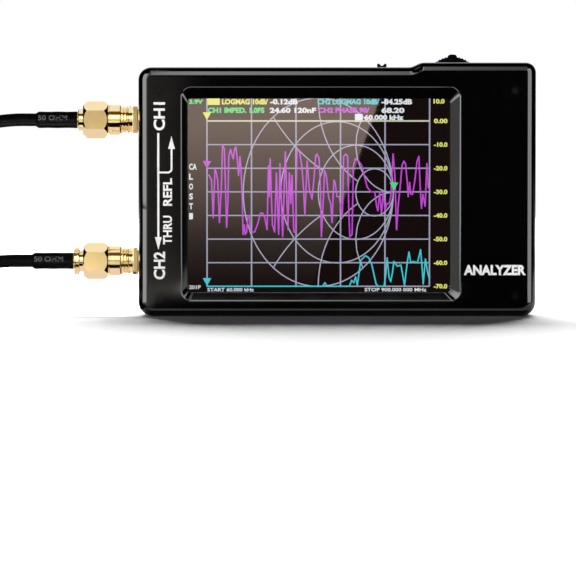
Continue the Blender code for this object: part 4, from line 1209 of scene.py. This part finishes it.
    def build_pin(self) -> bpy.types.Object:
        """The centre pin, with a rounded point."""
        name = f"lead_{self.lead}_{self.end}_pin"
        radius, base = 0.46 * MM, -9 * MM
        quarter_turn = [math.radians(15 * i) for i in range(7)]
        point = [(-2.0 * MM + 0.42 * MM * math.sin(a), radius * math.cos(a)) for a in quarter_turn]
        pin = turned(name, [*point, (base, 0), (base, radius)], steps=32)
        return self.maker.finish(self.settle(pin), GOLD_PLATED, f"lead_{self.lead}", Slot.GOLD, [name])

    def build_sleeve(self) -> bpy.types.Object:
        """The shrunk sleeve: slightly swollen over the crimp, and drawn in to the cable at its end."""
        name = f"lead_{self.lead}_{self.end}_boot"
        start, radius = self.tail - 0.2 * MM, self.sleeve_radius
        end = self.tail - self.sleeve_length
        profile = [(start, 1.35 * MM), (start, radius - 0.12 * MM), (start - 0.12 * MM, radius)]
        steps = 24
        for i in range(1, steps):
            x = start - 0.12 * MM + (end + 0.55 * MM - start + 0.12 * MM) * i / steps
            profile.append((x, radius - 0.025 * MM * (1 - math.cos(math.tau * i / steps * 2))))
        profile += [(end + 0.5 * MM, radius - 0.03 * MM), (end + 0.28 * MM, radius - 0.2 * MM)]
        profile += [(end, 1.6 * MM), (end, 1.35 * MM)]
        sleeve = turned(name, profile, steps=64)
        return self.maker.finish(self.settle(sleeve), SLEEVE_SHRUNK, f"lead_{self.lead}", Slot.JACKET, [name])

    def build_marking(self) -> bpy.types.Object:
        """The impedance, printed in grey on the sleeve."""
        obj = letters(f"lead_{self.lead}_{self.end}_marking", "50 OHM", 0.0)
        low, high = extent(obj)
        wide, tall = 6.8 * MM, 1.25 * MM
        radius = self.sleeve_radius + 0.002 * MM
        left = self.tail - self.sleeve_length + 0.5 * MM
        raised = math.radians(15)
        for vertex in obj.data.vertices:
            x = left + (vertex.co.x - low.x) / (high.x - low.x) * wide
            angle = ((vertex.co.y - low.y) / (high.y - low.y) - 0.5) * tall / radius + raised
            reach = radius + (vertex.co.z + 0.5) * 0.012 * MM
            vertex.co = (x, -reach * math.cos(angle), reach * math.sin(angle))
        return self.maker.finish(self.settle(obj), MARKING_INK, f"lead_{self.lead}", Slot.WHITE)

    def build(self) -> list[bpy.types.Object]:
        """Makes the whole end.

        Returns:
            Its pieces.
        """
        pieces = [self.build_nut(), self.build_thread(), self.build_body()]
        pieces += [self.build_pin(), self.build_sleeve()]
        if self.end == "near":
            pieces.append(self.build_marking())
        return pieces


@dataclass
class Lead:
    """A coaxial test lead: a plug on its port, the cable down to the table, and a loose plug at its far end.

    The route is in millimetres, from the near sleeve's tail to the far one's; the cable also runs a little
    way inside both sleeves.
    """

    maker: Maker
    number: int
    route: tuple[Triple, ...]
    length: float
    diameter: float = 3.0 * MM
    inside: float = 4.0 * MM

    def smooth_route(self, spacing: float) -> list[Vector]:
        """Evenly spaced points on the smooth curve through the route.

        Args:
            spacing: how far apart the points are.

        Returns:
            The points, in metres.
        """
        given = [Vector(p) * MM for p in self.route]
        given.insert(0, given[0] + Vector((self.inside, 0, 0)))
        given.append(given[-1] - Vector((self.inside, 0, 0)))
        padded = [2 * given[0] - given[1], *given, 2 * given[-1] - given[-2]]
        fine = []
        for a, b, c, d in zip(padded, padded[1:], padded[2:], padded[3:], strict=False):
            for i in range(12):
                t = i / 12
                bend, twist = 2 * a - 5 * b + 4 * c - d, 3 * b - a - 3 * c + d
                fine.append(0.5 * (2 * b + (c - a) * t + bend * t**2 + twist * t**3))
        fine.append(given[-1])
        along = [0.0]
        for first, second in zip(fine, fine[1:], strict=False):
            along.append(along[-1] + (second - first).length)
        count = round(along[-1] / spacing)
        made = []
        index = 0
        for i in range(count + 1):
            target = along[-1] * i / count
            while index < len(along) - 2 and along[index + 1] < target:
                index += 1
            share = (target - along[index]) / (along[index + 1] - along[index])
            made.append(fine[index].lerp(fine[index + 1], share))
        return made

    def build_cable(self) -> bpy.types.Object:
        """The cable as a smooth round tube."""
        name = f"lead_{self.number}_cable"
        curve = bpy.data.curves.new(name, "CURVE")
        curve.dimensions = "3D"
        curve.bevel_depth = self.diameter / 2
        curve.bevel_resolution = 8
        curve.use_fill_caps = True
        points = self.smooth_route(1.2 * MM)
        spline = curve.splines.new("POLY")
        spline.points.add(len(points) - 1)
        for target, point in zip(spline.points, points, strict=True):
            target.co = (*point, 1)
        spline.use_smooth = True
        cable = bpy.data.objects.new(name, curve)
        bpy.context.scene.collection.objects.link(cable)
        return self.maker.finish(cable, VINYL_EXTRUDED, f"lead_{self.number}", Slot.JACKET, [name])

    def build(self) -> None:
        """Makes the lead: both ends and the cable."""
        name = f"lead_{self.number}"
        has_ring = self.number == 2
        near_low, near_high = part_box(f"{name}_near_nut")
        far_low, far_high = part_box(f"{name}_far_nut")
        near = Vector((near_high.x, (near_low.y + near_high.y) / 2, (near_low.z + near_high.z) / 2))
        far = Vector((far_low.x, (far_low.y + far_high.y) / 2, (far_low.z + far_high.z) / 2))
        far_turn = Matrix.Rotation(math.pi, 4, "Z") @ Matrix.Rotation(math.radians(30), 4, "X")
        pieces = LeadEnd(self.maker, self.number, "near", has_ring, near, Matrix.Identity(4)).build()
        pieces += LeadEnd(self.maker, self.number, "far", has_ring, far, far_turn).build()
        cable = self.build_cable()
        LOG.info("%s is laid", name)


LEAD_1_ROUTE = (
    (-71.1, 0.6, 46.05), (-76.3, 0.6, 46.0), (-81.6, 0.7, 45.3), (-86.7, 0.9, 43.6), (-91.4, 1.3, 40.9),
    (-95.7, 1.8, 37.4), (-99.7, 2.3, 33.3), (-103.5, 2.8, 28.8), (-107.3, 3.3, 24.1), (-111.2, 3.8, 19.4),
    (-115.4, 4.3, 14.9), (-120.0, 4.7, 10.7), (-125.1, 5.1, 7.0), (-130.7, 5.4, 4.1), (-136.7, 5.6, 2.3),
    (-142.8, 5.6, 1.62), (-148.9, 5.6, 2.0), (-154.6, 5.6, 3.0), (-160.0, 5.6, 3.78),
)  # fmt: skip
LEAD_2_ROUTE = (
    (-72.3, 0.6, 12.8), (-77.8, 0.6, 12.75), (-83.3, 0.4, 12.1), (-88.7, 0.0, 10.6), (-94.0, -0.7, 8.5),
    (-99.3, -1.7, 6.2), (-104.6, -2.9, 4.1), (-110.0, -4.3, 2.5), (-115.5, -5.7, 1.7), (-121.1, -6.9, 1.56),
    (-126.8, -7.7, 1.55), (-132.6, -8.0, 1.55), (-138.4, -7.9, 1.55), (-144.2, -7.4, 1.55),
    (-150.0, -6.7, 1.56), (-155.8, -6.1, 1.6), (-161.6, -5.7, 1.75), (-167.4, -5.6, 2.3),
    (-172.9, -5.6, 3.1), (-178.2, -5.6, 3.78),
)  # fmt: skip


# ---------------------------------------------------------------------------------------------------------
# Studio

ON_CASE = (ABS_MOULDED,)
ON_GOLD = (GOLD_PLATED,)
ON_GLASS = (SLOT_FINISHES["screen_glass"],)
ON_BOTH = ON_CASE + ON_GOLD

WHITE = "#ffffff"
WARM = "#ffe2d0"
CREAM = "#fff4e4"
IVORY = "#fff6e8"
UMBER = "#40302c"
RUST = "#b04020"
DARK = 0.01


def level(z: float, *places: Flat) -> Corners:
    """Corners at one height, from their X and Y."""
    return [(x, y, z) for x, y in places]


def patch(left: float, right: float, front: float, back: float, z: float) -> Corners:
    """A level rectangle that faces up."""
    return level(z, (left, front), (right, front), (right, back), (left, back))


def leaning(foot: Flat, head: Flat, left: float, right: float) -> Corners:
    """A rectangle from its foot to its head (Y and Z), which faces back towards the case or down."""
    return [(right, *foot), (left, *foot), (left, *head), (right, *head)]


def upright(first: Flat, last: Flat, low: float, high: float) -> Corners:
    """A vertical rectangle from one place to another (X and Y), which faces right of that way."""
    return [(*first, low), (*first, high), (*last, high), (*last, low)]


def quad(name: str, corners: Corners) -> bpy.types.Object:
    """A staged flat piece with four corners, given anticlockwise as seen from its front."""
    pick()
    bpy.ops.mesh.primitive_plane_add()
    obj = bpy.context.object
    obj.name = name
    for index, corner in zip((0, 1, 3, 2), corners, strict=True):
        obj.data.vertices[index].co = corner
    return obj


def one_sided(tree: bpy.types.NodeTree, glow: bpy.types.Node) -> bpy.types.Node:
    """A shader that glows from the front and cannot be seen from behind."""
    behind = add_node(tree, "NewGeometry").outputs["Backfacing"]
    clear = add_node(tree, "BsdfTransparent")
    return add_node(tree, "MixShader", {0: behind, 1: glow.outputs[0], 2: clear.outputs[0]})


def wearers(finishes: "Sequence[Finish | ClearGlass]") -> list[bpy.types.Object]:
    """The pieces that wear any of the finishes."""
    names = {finish.name for finish in finishes}
    meshes = [obj for obj in bpy.data.objects if obj.type == "MESH"]
    return [obj for obj in meshes if names & {material.name for material in obj.data.materials if material}]


@dataclass(frozen=True)
class Card:
    """A card that only shows in reflections, and only from its front.

    Attributes:
        name: its name.
        corners: its corners in metres, anticlockwise as seen from its front.
        strength: how bright it is.
        colour: sRGB hex.
        mirrored_by: the only finishes that mirror it, or none for every piece. To the others it is black.
        ramp: an axis, where the strength is reached, where it ends, and the strength there.
    """

    name: str
    corners: Corners
    strength: float
    colour: str = WHITE
    mirrored_by: "tuple[Finish | ClearGlass, ...]" = ()
    ramp: tuple[str, float, float, float] | None = None

    def build(self) -> None:
        """Makes the card."""
        obj = quad(self.name, self.corners)
        material, tree = new_material(self.name)
        glow = add_node(tree, "Emission", {"Color": linear(self.colour), "Strength": self.strength})
        if self.ramp:
            axis, full, end, last = self.ramp
            place = add_node(tree, "TexCoord").outputs["Object"]
            parts = add_node(tree, "SeparateXYZ", {0: place})
            fade = map_range(tree, parts.outputs[axis], (full, end), (self.strength, last))
            tree.links.new(fade, glow.inputs["Strength"])
        show(tree, one_sided(tree, glow))
        obj.data.materials.append(material)
        obj.visible_camera = False
        obj.visible_shadow = False
        obj.visible_diffuse = False
        if self.mirrored_by:
            group = bpy.data.collections.new(f"mirrors_{self.name}")
            for piece in wearers(self.mirrored_by):
                group.objects.link(piece)
            obj.light_linking.receiver_collection = group


@dataclass
class Studio:
    """A white table, a lit wall behind it, cards that only show in reflections, and a long lens."""

    distance: float = 0.9
    view_width: float = 134.6 * MM
    aim: Vector = Vector((-11.5 * MM, -8.25 * MM, 6.7 * MM))
    lens_height: float = 40 * MM
    wall_light: float = 20.0
    floor: float = 0.001

    def build_camera(self) -> None:
        """Looks straight at the screen, a little from above the table."""
        camera = bpy.data.cameras.new("camera")
        camera.sensor_width = 36
        camera.lens = camera.sensor_width * self.distance / self.view_width
        camera.clip_start = 0.01
        obj = bpy.data.objects.new("camera", camera)
        obj.location = (self.aim.x, self.aim.y - self.distance, self.lens_height)
        obj.rotation_euler = (self.aim - obj.location).to_track_quat("-Z", "Y").to_euler()
        bpy.context.scene.collection.objects.link(obj)
        bpy.context.scene.camera = obj

    def build_backdrop(self) -> None:
        """A matt white table, and a lit wall far behind it whose light passes over the case."""
        table = quad("table", patch(-2.5, 2.5, -1.6, 1.2, 0))
        material, tree = new_material("table_white")
        show(tree, add_node(tree, "BsdfDiffuse", {"Color": linear("#f4f4f4")}))
        table.data.materials.append(material)
        wall = quad("wall", [(-0.5, 1.2, 0), (0.45, 1.2, 0), (0.45, 1.2, 1.9), (-0.5, 1.2, 1.9)])
        material, tree = new_material("wall_white")
        ray = add_node(tree, "LightPath").outputs["Is Camera Ray"]
        power = map_range(tree, ray, (0, 1), (self.wall_light, 1.0))
        show(tree, one_sided(tree, add_node(tree, "Emission", {"Strength": power})))
        wall.data.materials.append(material)
        wall.visible_glossy = False

    def build_glare(self) -> None:
        """A slanted bright window beside the camera, which the glass mirrors across its left half.

        The part of it below the table's level is carried on by cards that lie on the table, from a far edge
        under the camera to a near edge in front of the case. Left of the window, dim cards do the same for
        the case and the gold.
        """
        far, near = self.aim.y - self.distance, -0.165
        floor, raised, lowest = self.floor, 2 * self.floor, 0.8 * self.floor
        split, left, cross, right, slope = -0.0808, -0.062, 0.0095, 0.3, 0.353
        near_split, near_left, near_cross = -0.0524, -0.0395, -0.0049
        gold_left, gold_near_left, gold_rise = -0.13, -0.075, 1.15
        foot, head, high, case_left = (far, 0), (far, 0.125), 0.13, -0.045
        tip = cross + slope * high
        window = [(cross, far, 0), (left, far, 0), (left, far, high), (tip, far, high)]
        beside = [(right, far, 0), (cross, far, 0), (tip, far, high), (right, far, high)]
        low_window = level(floor, (left, far), (cross, far), (near_cross, near), (near_left, near))
        low_beside = level(floor, (cross, far), (right, far), (right, near), (near_cross, near))
        low_dim = level(floor, (split, far), (left, far), (near_left, near), (near_split, near))
        low_gold = level(floor, (gold_left, far), (split, far), (near_split, near), (gold_near_left, near))
        for card in (
            Card("glare_high", window, 1.3, WARM, ON_GLASS, ("Z", 0.05, 0.0, 0.26)),
            Card("glare_low", low_window, 0.26, WARM, ON_GLASS, ("Y", far, -0.2, 0.02)),
            Card("flag_right", low_beside, DARK, UMBER),
            Card("flag_high", beside, DARK, UMBER),
            Card("dim_low", low_dim, 0.5, CREAM, ON_CASE),
            Card("dim_high", leaning(foot, head, split, left), 0.5, CREAM, ON_CASE),
            Card("gold_low", low_gold, 0.6, IVORY, ON_GOLD, ("Y", -0.54, -0.36, gold_rise)),
            Card(
                "gold_high",
                leaning(foot, head, gold_left, split),
                0.6,
                IVORY,
                ON_GOLD,
                ("Z", 0.060, 0.045, gold_rise),
            ),
            Card("flag_front", patch(case_left, right, near, -0.018, floor), DARK, UMBER),
            Card("kick", patch(case_left, 0.045, -0.0105, -0.0086, floor), 0.9),
            Card("face_low", patch(-0.056, -0.0406, -0.16, -0.085, raised), 1.1, CREAM, ON_CASE),
            Card("rim_line", patch(-0.0405, 0.031, -0.148, -0.103, raised), 5.0, WHITE, ON_CASE),
            Card("screen_side", upright((-0.0475, -0.018), (-0.0475, -0.07), 0, 0.25), 0.95, WHITE, ON_CASE),
            Card("flag_far_left", patch(-2.0, -0.145, far, 0.25, lowest), DARK, WHITE, ON_CASE),
            Card("flag_far_right", patch(right, 2.0, far, 0.25, lowest), DARK, WHITE, ON_CASE),
        ):
            card.build()

    def build_cards(self) -> None:
        """Bright cards round the camera for the rounded edges, and dark strips that band the gold."""
        floor, raised, high = self.floor, 1.2 * self.floor, 0.75
        start, end, rust = -0.13, -0.0475, 0.012
        left_low = level(raised, (-0.0747, -0.0207), (-0.83, -0.37), (-0.3, -0.83), (-0.0563, -0.0367))
        right_low = level(raised, (0.055, -0.037), (0.27, -0.87), (0.8, -0.42), (0.0737, -0.0225))
        top = leaning((-0.87, 0.34), (-0.33, 0.78), -0.08, 0.24)
        for card in (
            Card("gold_behind", patch(-0.14, -0.047, -0.0135, 0.3, 0.6 * floor), 1.0, "#f1ebff", ON_GOLD),
            Card("top_line", top, 5.3, WHITE, ON_CASE, ("X", -0.05, 0.083, 1.15)),
            Card("front_high", leaning((-0.95, 0.126), (-0.76, 0.67), start, -0.081), 2.6, WHITE, ON_GOLD),
            Card("overhead", leaning((-0.23, 0.6), (0.45, 0.6), -0.5, 0.4), 1.15, "#eef1ff", ON_GOLD),
            Card("band_high", leaning((-0.39, 0.346), (-0.2, 0.49), start, -0.06), 0.12, "#ffcb5a", ON_GOLD),
            Card("back", leaning((1.15, 2.0), (1.15, 0.0), -0.6, 0.5), 1.1, "#f4f6ff", ON_BOTH),
            Card("left", upright((-0.82, -0.38), (-0.27, -0.87), floor, high), 7.0, WHITE, ON_BOTH),
            Card("left_low", left_low, 7.0, WHITE, ON_CASE),
            Card("right_low", right_low, 5.2, WHITE, ON_CASE),
            Card("right", upright((0.27, -0.87), (0.8, -0.42), floor, high), 5.2, WHITE, ON_BOTH),
            Card("band_port_1", patch(start, end, -0.051, -0.0147, 25 * floor), rust, RUST),
            Card("band_port_2", leaning((-0.0093, floor), (-0.0062, 0.0102), start, end), rust, RUST),
        ):
            card.build()

    def build_lights(self) -> None:
        """A dim room, and a low light by the camera that brightens paint but makes no highlight."""
        world = bpy.data.worlds.new("room")
        world.use_nodes = True
        tree = world.node_tree
        dim = tree.nodes["Background"]
        dim.inputs["Strength"].default_value = 0.03
        seen = add_node(tree, "Background", {"Strength": 1.0, "Color": linear(WHITE)})
        ray = add_node(tree, "LightPath").outputs["Is Camera Ray"]
        mixed = add_node(tree, "MixShader", {0: ray, 1: dim.outputs[0], 2: seen.outputs[0]})
        tree.links.new(mixed.outputs[0], tree.nodes["World Output"].inputs["Surface"])
        bpy.context.scene.world = world
        light = bpy.data.lights.new("fill", "AREA")
        light.size = 0.03
        light.energy = 5.5
        obj = bpy.data.objects.new("fill", light)
        obj.location = (self.aim.x, self.aim.y - self.distance, 0.02)
        obj.rotation_euler = (math.radians(90), 0, 0)
        obj.visible_glossy = False
        bpy.context.scene.collection.objects.link(obj)

    def build(self) -> None:
        """Sets up the camera, the backdrop, the cards and the lights."""
        bpy.context.scene.view_settings.view_transform = "Standard"
        self.build_camera()
        self.build_backdrop()
        self.build_glare()
        self.build_cards()
        self.build_lights()


def dress_nodes(frame: dict[str, object], paints: Paintbox) -> None:
    """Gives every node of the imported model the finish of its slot."""
    finishes = {part["node"]: SLOT_FINISHES[part["material_slot"]] for part in frame["record"]["subparts"]}
    finishes["lcd_glass"] = DISPLAY_DARK
    for name, obj in frame["nodes"].items():
        obj.data.materials.clear()
        obj.data.materials.append(paints.get(finishes[name]))
    LOG.info("%d nodes are dressed", len(finishes))


def main() -> None:
    """Loads the frame, then builds each sub-assembly in order."""
    logging.basicConfig(level=logging.INFO, format="%(name)s: %(message)s")
    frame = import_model()
    paints = Paintbox()
    maker = Maker(paints)
    for number, route, length in ((1, LEAD_1_ROUTE, 0.1136), (2, LEAD_2_ROUTE, 0.1168)):
        Lead(maker, number, route, length).build()
    dress_nodes(frame, paints)
    Case(maker).build()
    Screen(maker).build()
    FrontPrint(maker).build()
    TopControls(maker).build()
    for number in (1, 2):
        Port(maker, number).build()
    Studio().build()


if __name__ == "__main__":
    main()
